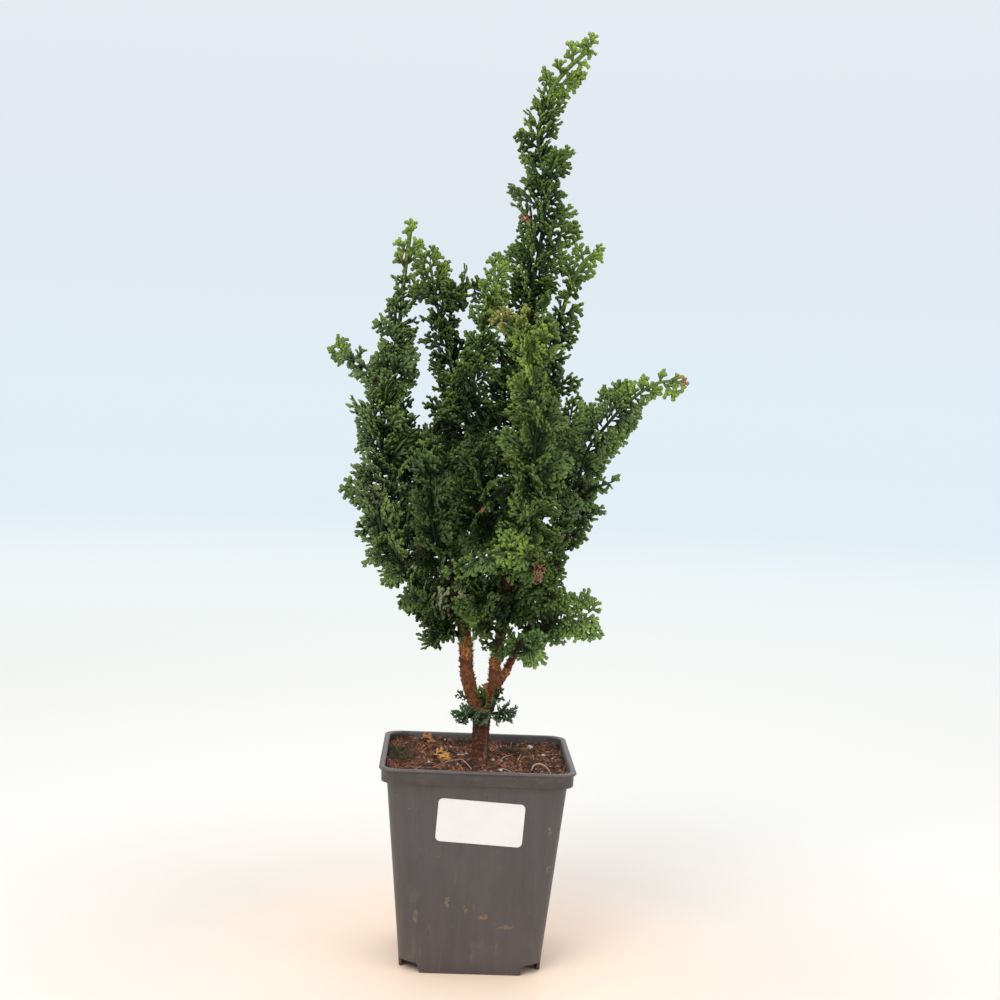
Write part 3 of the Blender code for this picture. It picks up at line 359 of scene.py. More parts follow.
# Small sprays round the stems inside the crown, laid out as the side shoots are
INNER_SPRAYS = [
    (0.02, (9, 11, 9), [(-9.5, -4, 160.5), (-12, -4, 170.5), (-13.5, -3, 183), (-14, -1, 198)]),
    (0.02, (9, 11, 9), [(10, 4, 162.5), (11, 5, 183.5), (12, 6, 207.5), (12.6, 7, 231.5)]),
    (0, (8, 10.5, 7), [(12.6, 7, 231.5), (8, 6, 247), (5.5, 5, 266), (4.5, 4, 285)]),
    (0, (10, 13, 11), [(12.6, 7, 231.5), (14, 8, 262), (15.5, 8, 295), (17, 7, 310)]),
    (0.02, (7, 10, 8), [(-12, -3, 180), (-8.5, 4, 190), (-6.5, 7, 202), (-5.5, 8, 216)]),
    (0.02, (7, 11, 9), [(12, 6, 190), (20, 10, 198), (27, 11, 209), (31, 10, 222)]),
    (0.02, (9, 8, 6), [(20.5, 6, 152.5), (25.7, 5, 162.5), (31, 3, 175.5), (35, 1, 187)]),
]

# Places where leaves are coloured unlike the rest of their shoot: middle and radius. The bright places hold
# fresher leaves with painted highlight, and the shady places hold painted shade in the crown's recesses
LEAF_PLACES = {
    "bright": [
        (36, 0, 427, 22), (26, 0, 411, 13), (14, 0, 395, 9), (-42, 17, 340, 20), (-40, 14, 322, 10),
        (-30, 8, 328, 15), (-18, 6, 323, 12), (0, -4, 322, 11), (2, -10, 307, 10), (44, 6, 335, 19),
        (36, 6, 315, 9), (76, -60, 278, 19), (62, -55, 270, 9), (14, -55, 199, 11), (4, -60, 205, 7),
        (49, -22, 167, 19), (41, -22, 155, 9), (27, -24, 145, 10), (14, -52, 284, 17), (8, -55, 268, 10),
        (-77, 60, 287, 8), (9, -50, 216, 9), (22, -52, 214, 8), (-2, -32, 164, 9), (-51, 0, 262, 7),
        (22, -52, 293, 13), (26, -50, 280, 9), (10, -56, 298, 10),
    ],
    "golden": [
        (1, -52, 298, 6.5), (3.5, -50, 302, 5.5), (7.5, -49, 304.5, 5.5), (11.5, -48, 304, 5.5),
        (14.5, -48, 301, 4.5), (5.5, -56, 292, 5.5), (-44, 12, 330, 5), (84, -62, 277, 5),
        (10, -56, 279, 4.5),
    ],
    "brown": [
        (12.5, 0, 349, 3.5), (-31, -32, 196.5, 3.5), (85.5, -62, 276.5, 3.6), (-40, 10, 335, 2),
        (8, -36, 176, 2.5), (14, -40, 171, 3), (-52, -20, 224, 3.5), (-51.5, -20, 219, 2.5),
        (-2, -45, 216.5, 2.5), (-15, -30, 165.5, 3),
    ],
    "pale": [
        (-18, -38, 175.5, 6.5), (-10, -36, 176, 5.5), (-43, 2, 274, 8), (-33, -30, 186, 4),
    ],
    "shady": [
        (-21.5, -26, 234.5, 12), (-5, -26, 256, 13), (-10, -18, 266, 9), (-19.7, -30, 215, 7),
        (0, -32, 207, 8), (-28.5, -26, 193.5, 8), (5.5, -20, 275, 8), (9, -28, 172, 11), (37, -14, 213, 9),
        (34, -14, 229, 7), (-20, -5, 248, 9),
    ],
}

# Sprays come in a few lengths, in metres, each with a few shapes
SPRAY_LENGTHS = (0.006, 0.009, 0.012, 0.015, 0.018)
SPRAY_SHAPES = 3
FINGER_HALF_THICKNESS = 0.00075
SHORTEST_FORKED = 0.0030
FINGER_STEPS = (0.0017, 0.0016)
LONGEST_FINGER = 0.0034
RANK_TURN = math.radians(48)
RANK_CLOSING = math.radians(14)
FINGER_TURN = math.radians(40)
LIFT = math.radians(20)
GOLDEN_ANGLE = math.radians(137.508)
NEVER = 2.0
SHOOT_SEED_STEP = 31
INNER_SEED = 900
PALE_LEAF = (0.30, 0.31, 0.18)
# Whitish bloom on the branchlets, partly real bloom and partly a painted sheen
LEAF_BLOOM_AND_SHEEN = (0.170, 0.220, 0.120)

# How the sprays of each kind of shoot stand; places along it run from 0 at the foot to 1 at the tip
STYLES = {
    "plume": {"Least roll": 0.45, "Roll": 1.50, "Flat from": 0.87, "Sparse from": 0.88, "Stem tip": 0.0011},
    "crest": {"Least roll": 0.45, "Roll": 1.50, "Flat from": 0.87},
    "feather": {
        "Spin": math.pi, "Least roll": 0.2, "Roll": 0.8, "Flat from": 0.24, "Flat lean": 0.60,
        "Sparse from": 0.90,
    },
    "bush": {"Least roll": 0.20, "Roll": 1.45},
    "shelf": {"Spin": math.pi, "Roll": 0.75},
    "fan": {"Spin": math.pi, "Roll": 0.75, "Flat from": 0.30},
    "tuft": {
        "Roll": 1.0, "Spacing": 0.0007, "Spray share": 1.15, "Fineness": 1.8, "Stem foot": 0.0008,
        "Stem tip": 0.0005,
    },
    "inner": {
        "Roll": 1.45, "Spacing": 0.0018, "Spray share": 1.0, "Foot lean": 0.2, "Tip lean": 0.6,
        "Stem foot": 0.0008, "Stem tip": 0.0008,
    },
}

# Camera, fitted to the photograph
EYE = (0, -0.800, 0.2658)
PITCH = -0.0604
YAW = 0.0078
ROLL = 0.0408
FOCAL_PIXELS = 1696.7
FRAME_PIXELS = 1000

# Stage: rings and colours of the floor, the sky, and each lamp's place, size, power and colour
FLOOR_SIDES = 96
FLOOR_RINGS = (0.2, 0.5, 1.0, 1.6, 2.4, 6.0)
WARM_FLOOR = (0.960, 0.760, 0.585)
COOL_FLOOR = (0.765, 0.752, 0.700)
FLOOR_STAIN = (0.6, 0.5, 0.4)
NEAR_HAZE = (0.900, 0.945, 0.930)
FAR_HAZE = (0.760, 0.860, 0.930)
SKY = [
    (0.0, (0.80, 0.79, 0.76)), (0.50, FAR_HAZE), (0.545, (0.750, 0.815, 0.880)),
    (0.61, (0.800, 0.825, 0.890)),
]
LAMPS = {
    "key": ((-0.55, -1.05, 1.15), 0.9, 11.0, (1.0, 0.965, 0.92)),
    "fill": ((1.15, -0.75, 0.65), 1.1, 3.0, (1.0, 0.97, 0.93)),
    "back": ((0.2, 1.1, 1.0), 1.1, 3.5, (1.0, 0.98, 0.95)),
    "top": ((0, -0.1, 1.5), 1.0, 5.0, (1.0, 0.98, 0.95)),
}
LAMP_AIM = Vector((0, 0, 0.2))


class Value:
    """One socket of a node tree, usable in sums."""

    def __init__(self, graph, socket):
        self.graph = graph
        self.socket = socket

    def sum(self, operation, other, swapped=False):
        pair = (other, self) if swapped else (self, other)
        return self.graph.add("ShaderNodeMath", {"operation": operation}, dict(enumerate(pair)))

    def __add__(self, other):
        return self.sum("ADD", other)

    __radd__ = __add__

    def __sub__(self, other):
        return self.sum("SUBTRACT", other)

    def __rsub__(self, other):
        return self.sum("SUBTRACT", other, True)

    def __mul__(self, other):
        return self.sum("MULTIPLY", other)

    __rmul__ = __mul__

    def __truediv__(self, other):
        return self.sum("DIVIDE", other)

    def __pow__(self, other):
        return self.sum("POWER", other)

    def one(self, operation):
        """An operation on this value alone, such as FLOOR or ABSOLUTE."""
        return self.graph.add("ShaderNodeMath", {"operation": operation}, {0: self})

    def over(self, low, high):
        """0 below low, 1 above high, and smooth between them."""
        settings = {"interpolation_type": "SMOOTHSTEP", "clamp": True}
        return self.graph.add("ShaderNodeMapRange", settings, {0: self, 1: low, 2: high, 3: 0.0, 4: 1.0})


class Graph:
    """A node tree that is filled one node at a time."""

    def __init__(self, tree):
        self.tree = tree
        self.tree.nodes.clear()

    def add(self, kind, settings=None, values=None, output=0):
        """Adds a node, with its settings first and then the values or links of its sockets."""
        node = self.tree.nodes.new(kind)
        for name, setting in (settings or {}).items():
            if name == "stops":
                self.set_stops(node.color_ramp, setting)
            else:
                setattr(node, name, setting)
        for name, value in (values or {}).items():
            self.put(node.inputs[name], value)
        return Value(self, node.outputs[output]) if node.outputs else node

    def put(self, socket, value):
        if isinstance(value, Value):
            self.tree.links.new(value.socket, socket)
        elif isinstance(value, tuple) and len(value) == 3 and socket.type == "RGBA":
            socket.default_value = (*value, 1)
        else:
            socket.default_value = value

    def set_stops(self, ramp, stops):
        while len(ramp.elements) < len(stops):
            ramp.elements.new(1)
        for element, (place, colour) in zip(ramp.elements, stops):
            element.position = place
            element.color = (*colour, 1)

    def other(self, value, output):
        """Another output of the node behind a value."""
        return Value(self, value.socket.node.outputs[output])

    def mix(self, share, first, second):
        """A colour between two colours."""
        settings = {"data_type": "RGBA", "clamp_factor": True}
        return self.add("ShaderNodeMix", settings, {0: share, 6: first, 7: second}, 2)

    def paint(self, share, first, second, *coats):
        """A colour between two colours, under coats that each have a share and a colour."""
        colour = self.mix(share, first, second)
        for cover, coat in coats:
            colour = self.mix(cover, colour, coat)
        return colour

    def blend(self, share, first, second):
        """A number between two numbers."""
        return self.add("ShaderNodeMix", {"data_type": "FLOAT"}, {0: share, 2: first, 3: second}, 0)

    def vector(self, operation, first, second=None):
        values = {0: first}
        if second is not None:
            values["Scale" if operation == "SCALE" else 1] = second
        return self.add("ShaderNodeVectorMath", {"operation": operation}, values)

    def join(self, x=0.0, y=0.0, z=0.0):
        """A vector of three numbers."""
        return self.add("ShaderNodeCombineXYZ", {}, {0: x, 1: y, 2: z})

    def axes(self, place):
        """The three numbers of a place."""
        first = self.add("ShaderNodeSeparateXYZ", {}, {0: place})
        return first, self.other(first, "Y"), self.other(first, "Z")

    def place(self, output="Object"):
        """Where a point lies on its piece."""
        return self.other(self.add("ShaderNodeTexCoord"), output)

    def noise(self, place, scale, detail=3.0, roughness=0.55):
        """Cloudy pattern, stretched where its scale has three numbers."""
        if isinstance(scale, tuple):
            values = {"Vector": place, "Scale": scale}
            place = self.add("ShaderNodeMapping", {"vector_type": "POINT"}, values)
            scale = 1.0
        values = {"Vector": place, "Scale": scale, "Detail": detail, "Roughness": roughness}
        return self.add("ShaderNodeTexNoise", {}, values)

    def attribute(self, name):
        """A number kept on the mesh, for a material."""
        return self.add("ShaderNodeAttribute", {"attribute_name": name}, {}, "Fac")

    def named(self, name):
        """A number kept on the geometry, for a modifier."""
        return self.add("GeometryNodeInputNamedAttribute", {"data_type": "FLOAT"}, {"Name": name})

    def store(self, geometry, name, value, domain="POINT"):
        settings = {"data_type": "FLOAT", "domain": domain}
        values = {"Geometry": geometry, "Name": name, "Value": value}
        return self.add("GeometryNodeStoreNamedAttribute", settings, values)

    def chance(self, low, high, seed, salt):
        """A random number for each point."""
        return self.add("FunctionNodeRandomValue", {}, {2: low, 3: high, "Seed": seed + salt}, 1)

    def chances(self, reach, seed, salt):
        """A random vector for each point, up to a reach either way."""
        low = tuple(-part for part in reach)
        settings = {"data_type": "FLOAT_VECTOR"}
        return self.add("FunctionNodeRandomValue", settings, {0: low, 1: reach, "Seed": seed + salt})

    def more(self, first, second):
        """Whether one number is greater than another."""
        return self.add("FunctionNodeCompare", {"operation": "GREATER_THAN"}, {0: first, 1: second})

    def facing(self, heading, upper):
        """The turn that points X along a heading, with Z towards the upper side."""
        settings = {"primary_axis": "X", "secondary_axis": "Z"}
        return self.add("FunctionNodeAxesToRotation", settings, {0: heading, 1: upper})

    def turned(self, vector, axis, angle):
        values = {"Vector": vector, "Axis": axis, "Angle": angle}
        return self.add("ShaderNodeVectorRotate", {"rotation_type": "AXIS_ANGLE"}, values)


def new_material(name):
    made = bpy.data.materials.new(name)
    made.use_nodes = True
    return made, Graph(made.node_tree)


def end_material(made, graph, colour, rough, relief, depth, strength, gloss=0.5):
    """Ends a material in one Principled shader with a bump, and gives it back."""
    bump = {"Height": relief, "Distance": depth, "Strength": strength}
    normal = graph.add("ShaderNodeBump", {}, bump, "Normal")
    values = {"Base Color": colour, "Roughness": rough, "Normal": normal, "Specular IOR Level": gloss}
    shader = graph.add("ShaderNodeBsdfPrincipled", {}, values)
    graph.add("ShaderNodeOutputMaterial", {}, {"Surface": shader})
    return made


def size_property(name, description, default, low, high, **kind):
    return FloatProperty(name=name, description=description, default=default, min=low, max=high, **kind)


class BonsaiSizes(bpy.types.PropertyGroup):
    """Sizes that a user may change."""

    spray_spacing: size_property(
        "Spray spacing", "Distance between sprays along a shoot", 0.0018, 0.001, 0.01, unit="LENGTH",
    )
    spray_share: size_property(
        "Spray length", "Length of a spray as a share of its shoot's reach", 1.06, 0.5, 1.4,
    )
    finger_width: size_property(
        "Branchlet width", "Width of one leafy branchlet", 0.0019, 0.001, 0.004, unit="LENGTH",
    )
    scale_length: size_property(
        "Scale leaf length", "Length of one scale leaf along a branchlet", 0.0011, 0.0005, 0.003,
        unit="LENGTH",
    )
    foot_lean: size_property(
        "Lean at the foot", "Angle by which the lowest sprays lean along their shoot",
        math.radians(38), 0, math.radians(80), subtype="ANGLE",
    )
    tip_lean: size_property(
        "Lean at the tip", "Angle by which the highest sprays lean along their shoot",
        math.radians(64), 0, math.radians(85), subtype="ANGLE",
    )
    bark_grain: size_property(
        "Bark relief", "Height of the ridges of the bark", 0.00026, 0, 0.001, unit="LENGTH",
    )
    bark_voxel: size_property(
        "Bark fineness", "Face size of the wood's mesh", 0.00060, 0.0003, 0.002, unit="LENGTH",
    )
    soil_grain: size_property(
        "Soil relief", "Height of the lumps of the soil", 0.0009, 0, 0.003, unit="LENGTH",
    )
    seed: IntProperty(
        name="Seed", description="Number that every random choice starts from", default=7, min=0,
    )


def colour_property(name, description, default):
    return FloatVectorProperty(
        name=name, description=description, default=default, size=3, min=0, max=1, subtype="COLOR",
    )


class BonsaiColours(bpy.types.PropertyGroup):
    """Colours that a user may change."""

    # Deep leaf is the colour of the oldest scale leaves and of painted shade inside the sprays and the
    # crown
    leaf_deep: colour_property("Deep leaf", "Oldest scale leaves", (0.011, 0.024, 0.008))
    leaf_green: colour_property("Green leaf", "Grown scale leaves", (0.074, 0.126, 0.027))
    leaf_blue: colour_property("Bluish leaf", "Bloom on some sprays", (0.066, 0.120, 0.050))
    # Fresh leaf is also the painted highlight on the ends of the sprays
    leaf_fresh: colour_property("Fresh leaf", "New growth", (0.250, 0.362, 0.052))
    leaf_golden: colour_property("Golden leaf", "Scorched golden tips", (0.370, 0.275, 0.060))
    leaf_withered: colour_property("Withered leaf", "Dead scale leaves", (0.330, 0.155, 0.080))
    bark: colour_property("Bark", "Bark of the stems", (0.180, 0.056, 0.024))
    bark_peel: colour_property("Peeling bark", "Fresh bark under the peel", (0.520, 0.210, 0.055))
    pot: colour_property("Pot plastic", "Dark grey plastic of the pot", (0.0705, 0.0592, 0.0590))
    pot_dirt: colour_property("Pot smudges", "Dried soil on the pot", (0.210, 0.150, 0.095))
    label: colour_property("Label paper", "Bare white paper", (0.775, 0.745, 0.730))
    peat: colour_property("Peat", "Fibres of the soil", (0.135, 0.042, 0.019))
    peat_light: colour_property("Dry peat", "Dry fibres of the soil", (0.520, 0.220, 0.105))
    perlite: colour_property("Perlite", "White grains in the soil", (0.780, 0.760, 0.730))
    moss: colour_property("Moss", "Dark moss on the soil", (0.050, 0.052, 0.020))
    root: colour_property("Root", "Thin dry roots", (0.560, 0.430, 0.290))
    floor: colour_property("Floor", "Plain pale floor", (0.742, 0.682, 0.605))


def sizes():
    return bpy.context.scene.bonsai_sizes


def tone(name, factor=1.0):
    """A user colour, made lighter or darker by a factor."""
    return tuple(min(1.0, part * factor) for part in getattr(bpy.context.scene.bonsai_colours, name))


def metres(*numbers):
    """Numbers of a table in millimetres, in metres."""
    return tuple(number / MILLIMETRES for number in numbers)


def add_object(name, mesh, collection=None):
    made = bpy.data.objects.new(name, mesh)
    (collection or bpy.context.scene.collection).objects.link(made)
    return made


def mesh_from(name, points, faces):
    mesh = bpy.data.meshes.new(name)
    mesh.from_pydata([tuple(p) for p in points], [], faces)
    mesh.validate()
    mesh.shade_smooth()
    return mesh


def plain_copy(source):
    """The mesh of an object with its modifiers applied."""
    graph = bpy.context.evaluated_depsgraph_get()
    return bpy.data.meshes.new_from_object(source.evaluated_get(graph))


def settle(made):
    """Applies an object's modifiers to it."""
    old = made.data
    mesh = plain_copy(made)
    made.modifiers.clear()
    made.data = mesh
    bpy.data.meshes.remove(old)


def remove(made):
    data = made.data
    bpy.data.objects.remove(made, do_unlink=True)
    kinds = bpy.data.meshes if isinstance(data, bpy.types.Mesh) else bpy.data.curves
    kinds.remove(data)


def dress(made, finish, nodes=()):
    """Gives a finished piece its material, and ties it to the tree's body."""
    if len(made.data.polygons) == 0:
        raise RuntimeError(f"{made.name} came out empty")
    made.data.materials.clear()
    made.data.materials.append(finish)
    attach(made, "root")
    if nodes:
        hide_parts(*nodes)


def run_modifier(source, tree, values, name):
    """Runs a geometry tree on an object and returns a new object with the plain mesh."""
    modifier = source.modifiers.new("growth", "NODES")
    modifier.node_group = tree
    for item in tree.interface.items_tree:
        if item.item_type == "SOCKET" and item.in_out == "INPUT" and item.name in values:
            modifier[item.identifier] = values[item.name]
    made = add_object(name, plain_copy(source))
    source.modifiers.remove(modifier)
    return made


SOCKET_KINDS = {
    float: "NodeSocketFloat",
    int: "NodeSocketInt",
    str: "NodeSocketString",
    bpy.types.Collection: "NodeSocketCollection",
    bpy.types.Material: "NodeSocketMaterial",
}


def new_tree(name, inputs):
    """An empty geometry tree with named inputs, each given by its first value or by its type."""
    tree = bpy.data.node_groups.new(name, "GeometryNodeTree")
    for way in ("INPUT", "OUTPUT"):
        tree.interface.new_socket("Geometry", in_out=way, socket_type="NodeSocketGeometry")
    for label, first in inputs.items():
        typed = isinstance(first, type)
        kind = SOCKET_KINDS[first if typed else type(first)]
        socket = tree.interface.new_socket(label, in_out="INPUT", socket_type=kind)
        if not typed:
            socket.default_value = first
    graph = Graph(tree)
    start = graph.add("NodeGroupInput")
    return tree, graph, {label: graph.other(start, label) for label in ("Geometry", *inputs)}


def end_tree(graph, geometry, finish):
    """Ends a geometry tree in plain geometry with one material."""
    plain = graph.add("GeometryNodeRealizeInstances", {}, {"Geometry": geometry})
    finished = graph.add("GeometryNodeSetMaterial", {}, {"Geometry": plain, "Material": finish})
    graph.add("NodeGroupOutput", {}, {"Geometry": finished})


def place_things(graph, points, things, turn, pick, scale, tint):
    """Puts one shape of a collection on every point, and gives each a tint of its own."""
    info = graph.add(
        "GeometryNodeCollectionInfo", {"transform_space": "ORIGINAL"},
        {"Collection": things, "Separate Children": True, "Reset Children": True},
    )
    placed = graph.add("GeometryNodeInstanceOnPoints", {}, {
        "Points": points, "Instance": info, "Pick Instance": True, "Instance Index": pick,
        "Rotation": turn, "Scale": scale,
    })
    return graph.store(placed, "tint", tint, "INSTANCE")


def smooth_route(corners, per_span=10):
    """A Catmull-Rom curve through the given points."""
    knots = [Vector(c) for c in corners]
    padded = [knots[0] * 2 - knots[1], *knots, knots[-1] * 2 - knots[-2]]
    curve = []
    for a, b, c, d in zip(padded, padded[1:], padded[2:], padded[3:]):
        for step in range(per_span):
            t = step / per_span
            square = 2 * a - 5 * b + 4 * c - d
            cube = 3 * b - a - 3 * c + d
            curve.append(0.5 * (2 * b + (c - a) * t + square * t ** 2 + cube * t ** 3))
    return [*curve, knots[-1]]


def shares_of(points):
    """How far along its route each point lies, from 0 to 1."""
    marks = [0.0]
    for a, b in zip(points, points[1:]):
        marks.append(marks[-1] + (b - a).length)
    return [mark / marks[-1] for mark in marks]


def ring(centre, side, across, radius, sides):
    """Points round a centre, from one direction towards another."""
    angles = [2 * math.pi * k / sides for k in range(sides)]
    return [centre + (side * math.cos(angle) + across * math.sin(angle)) * radius for angle in angles]


def band(low, high, count):
    """Faces between two rings that start at two indices."""
    around = [(i, (i + 1) % count) for i in range(count)]
    return [(low + i, low + j, high + j, high + i) for i, j in around]


def loft(rows):
    """Points and faces of a closed skin through rings of equal length."""
    count = len(rows[0])
    last = (len(rows) - 1) * count
    faces = [tuple(reversed(range(count)))]
    for low in range(0, last, count):
        faces.extend(band(low, low + count, count))
    faces.append(tuple(last + i for i in range(count)))
    return [p for row in rows for p in row], faces


def tube(points, radii, sides):
    """Points and faces of a closed tube through a row of points."""
    rows = []
    side = None
    for i, (point, radius) in enumerate(zip(points, radii)):
        heading = (points[min(i + 1, len(points) - 1)] - points[max(i - 1, 0)]).normalized()
        side = side or heading.orthogonal()
        side = (side - heading * side.dot(heading)).normalized()
        rows.append(ring(point, side, heading.cross(side), radius, sides))
    return loft(rows)


def joined(parts):
    """One list of points and faces from several."""
    points = []
    faces = []
    for some_points, some_faces in parts:
        start = len(points)
        points.extend(some_points)
        faces.extend(tuple(start + i for i in face) for face in some_faces)
    return points, faces


# Pot and label


def rounded_outline(half_x, half_y, corner, height, steps=10):
    """Points of a rectangle with round corners, anticlockwise, at one height."""
    points = []
    for quarter, (side_x, side_y) in enumerate(((1, 1), (-1, 1), (-1, -1), (1, -1))):
        centre = Vector((side_x * (half_x - corner), side_y * (half_y - corner), height))
        for step in range(steps + 1):
            angle = math.radians(90 * quarter + 90 * step / steps)
            points.append(centre + Vector((math.cos(angle), math.sin(angle), 0)) * corner)
    return points


def wall_half(height):
    """Half width of the pot's outer wall at a height."""
    return FOOT_HALF + (SHOULDER_HALF - FOOT_HALF) * height / SHOULDER_HEIGHT


def cut_away(made, shapes):
    """Cuts a list of closed shapes out of a piece, all at once."""
    group = bpy.data.collections.new("cutters")
    bpy.context.scene.collection.children.link(group)
    for mesh in shapes:
        add_object("cutter", mesh, group)
    boolean = made.modifiers.new("cut", "BOOLEAN")
    boolean.operation = "DIFFERENCE"
    boolean.operand_type = "COLLECTION"
    boolean.collection = group
    boolean.solver = "EXACT"
    settle(made)
    drop_group(group)


def rounded_lip():
    """Half widths and heights of the rim band and its rolled lip, from the shoulder inwards."""
    lip_bottom = POT_HEIGHT - LIP_THICKNESS
    soft = LIP_THICKNESS / 2
    rows = [
        (SHOULDER_HALF, SHOULDER_HEIGHT - 0.0002),
        (SHOULDER_HALF + 0.0004, SHOULDER_HEIGHT),
        (BAND_HALF - 0.0003, SHOULDER_HEIGHT),
        (BAND_HALF, SHOULDER_HEIGHT + STEP_RISE),
        (BAND_HALF + 0.0001, lip_bottom - 0.0008),
        (BAND_HALF + 0.0004, lip_bottom - 0.0002),
    ]
    for angle in range(-60, 91, 30):
        angle = math.radians(angle)
        rows.append((LIP_HALF - soft + soft * math.cos(angle), POT_HEIGHT - soft + soft * math.sin(angle)))
    rows.append((BAND_HALF - WALL + 0.0004, POT_HEIGHT - 0.0001))
    rows.append((BAND_HALF - WALL, POT_HEIGHT - 0.0005))
    return rows


def pot_finish():
    made, graph = new_material("pot_plastic")
    place = graph.place()
    across, depth, height = graph.axes(place)
    low = 1 - height.over(0.020, 0.075)
    streaks = graph.noise(place, (260, 260, 16), 4.0)
    cloud = graph.noise(place, 38.0, 4.0)
    speckle = graph.noise(place, 900.0, 2.0)
    smudge = graph.noise(place, (90, 90, 55), 5.0).over(0.60, 0.72) * low
    scratch = graph.noise(place, (950, 950, 75), 1.0).over(0.67, 0.74)
    stain = graph.noise(place, (520, 520, 30), 2.0).over(0.66, 0.76) * low
    wander = (graph.noise(place, 420.0, 3.0) - 0.5) * 0.004
    mud = 0.0
    for x, z, wide, tall in (metres(*row) for row in MUD_PLACES):
        aside = (across + wander - x) / wide
        above = (height + wander - z) / tall
        mud = mud + (1 - (aside * aside + above * above).over(0.3, 1.5))
    mud = mud * (1 - depth.over(-0.034, -0.030)) * speckle.over(0.35, 0.55)
    # The rim band, and the wall just under it, are darkened as painted shade under the band; real grime
    # gathers there too
    rim = height.over(SHOULDER_HEIGHT - 0.0008, SHOULDER_HEIGHT + 0.0004)
    grime = graph.noise(place, (150, 150, 420), 5.0).over(0.52, 0.70) * rim
    # Painted highlight along the top of the lip
    lip = height.over(POT_HEIGHT - 0.0013, POT_HEIGHT - 0.0004)
    colour = graph.paint(
        streaks.over(0.3, 0.7), tone("pot", 0.90), tone("pot", 1.08),
        (cloud.over(0.45, 0.75) * 0.5, tone("pot", 1.25)),
        (scratch * 0.40, tone("pot", 0.55)),
        (rim * 0.58, tone("pot", 0.62)),
        (grime * 0.22, tone("pot_dirt", 0.9)),
        (lip * 0.45, tone("pot", 1.9)),
        (stain * 0.22, tone("pot_dirt")),
        (smudge * 0.30, tone("pot_dirt")),
        (mud * 0.44, DRIED_MUD),
        (speckle.over(0.735, 0.77) * 0.35, LIME_SPECK),
    )
    rough = 0.40 + cloud * 0.14 + smudge * 0.20 + streaks * 0.06
    grain = graph.noise(place, 1500.0, 3.0) * 0.35 + streaks * 0.65
    return end_material(made, graph, colour, rough, grain, 0.00008, 0.5)


def label_finish():
    made, graph = new_material("label_paper")
    place = graph.place()
    fibre = graph.noise(place, (900, 900, 2400))
    cloud = graph.noise(place, 120.0)
    colour = graph.paint(
        cloud.over(0.35, 0.75), tone("label"), tone("label", 0.965),
        (fibre.over(0.62, 0.80) * 0.25, tone("label", 0.88)),
    )
    return end_material(made, graph, colour, 0.46 + cloud * 0.12, fibre, 0.00003, 0.6)


def make_pot():
    rows = [(FOOT_HALF, FOOT_CORNER, 0), (FOOT_HALF + 0.0002, FOOT_CORNER, 0.0003)]
    for step in range(1, WALL_ROWS):
        height = SHOULDER_HEIGHT * step / WALL_ROWS
        corner = FOOT_CORNER + (RIM_CORNER - FOOT_CORNER) * step / WALL_ROWS
        rows.append((wall_half(height), corner, height))
    rows.extend((half, RIM_CORNER, height) for half, height in rounded_lip())
    inner = RIM_CORNER - WALL / 2
    foot = FOOT_CORNER - WALL
    rows.extend([
        (BAND_HALF - WALL, inner, SHOULDER_HEIGHT + STEP_RISE + WALL),
        (SHOULDER_HALF - WALL + 0.0003, inner, SHOULDER_HEIGHT + STEP_RISE + WALL - 0.0004),
        (SHOULDER_HALF - WALL, inner, SHOULDER_HEIGHT),
        (wall_half(FLOOR_TOP) - WALL, foot, FLOOR_TOP),
    ])
    under = [
        (FOOT_HALF - WALL, foot, -0.001), (wall_half(FLOOR_UNDERSIDE) - WALL, foot, FLOOR_UNDERSIDE),
    ]
    skin, hollow = (loft([rounded_outline(row[0], *row) for row in some]) for some in (rows, under))
    pot = add_object("nursery_pot", mesh_from("nursery_pot", *skin))
    cut_away(pot, [mesh_from("hollow", *hollow)])
    cutters = []
    for quarter in range(4):
        for shape in (corner_cutter(), drain_cutter()):
            mesh = mesh_from("cutter", *shape)
            mesh.transform(Matrix.Rotation(math.radians(90 * quarter), 4, "Z"))
            cutters.append(mesh)
    cut_away(pot, cutters)
    bevel = pot.modifiers.new("soft edges", "BEVEL")
    bevel.width = EDGE_BEVEL
    bevel.segments = 1
    bevel.limit_method = "ANGLE"
    bevel.angle_limit = EDGE_ANGLE
    settle(pot)
    pot.data.transform(Matrix.Rotation(POT_TURN, 4, "Z"))
    pot.data.shade_smooth()
    pot.data.set_sharp_from_angle(angle=EDGE_ANGLE)
    dress(pot, pot_finish(), ["pot"])


def corner_cutter():
    """A block that opens one corner of the skirt, with round upper corners."""
    soft = CORNER_CUT_SOFT
    outer = LIP_HALF * 1.1
    rows = []
    for height in (-0.0012, CORNER_CUT_TOP - soft, CORNER_CUT_TOP - soft * 0.3, CORNER_CUT_TOP):
        share = max(0.0, (height - CORNER_CUT_TOP + soft) / soft)
        shift = soft * (1 - math.sqrt(max(0.0, 1 - share * share)))
        lean = (TAB_HALF_AT_TOP - TAB_HALF_AT_GROUND) * max(height, 0) / CORNER_CUT_TOP
        start = TAB_HALF_AT_GROUND + lean + shift
        square = ((start, start), (outer, start), (outer, outer), (start, outer))
        rows.append([Vector((x, y, height)) for x, y in square])
    return loft(rows)


def drain_cutter():
    """A round plug that goes through the pot's floor."""
    rows = []
    for height in (FLOOR_UNDERSIDE - 0.001, FLOOR_TOP + 0.001):
        centre = Vector((DRAIN_OFFSET, DRAIN_OFFSET, height))
        rows.append(ring(centre, ALONG_X, ALONG_Y, DRAIN_RADIUS, DRAIN_SIDES))
    return loft(rows)


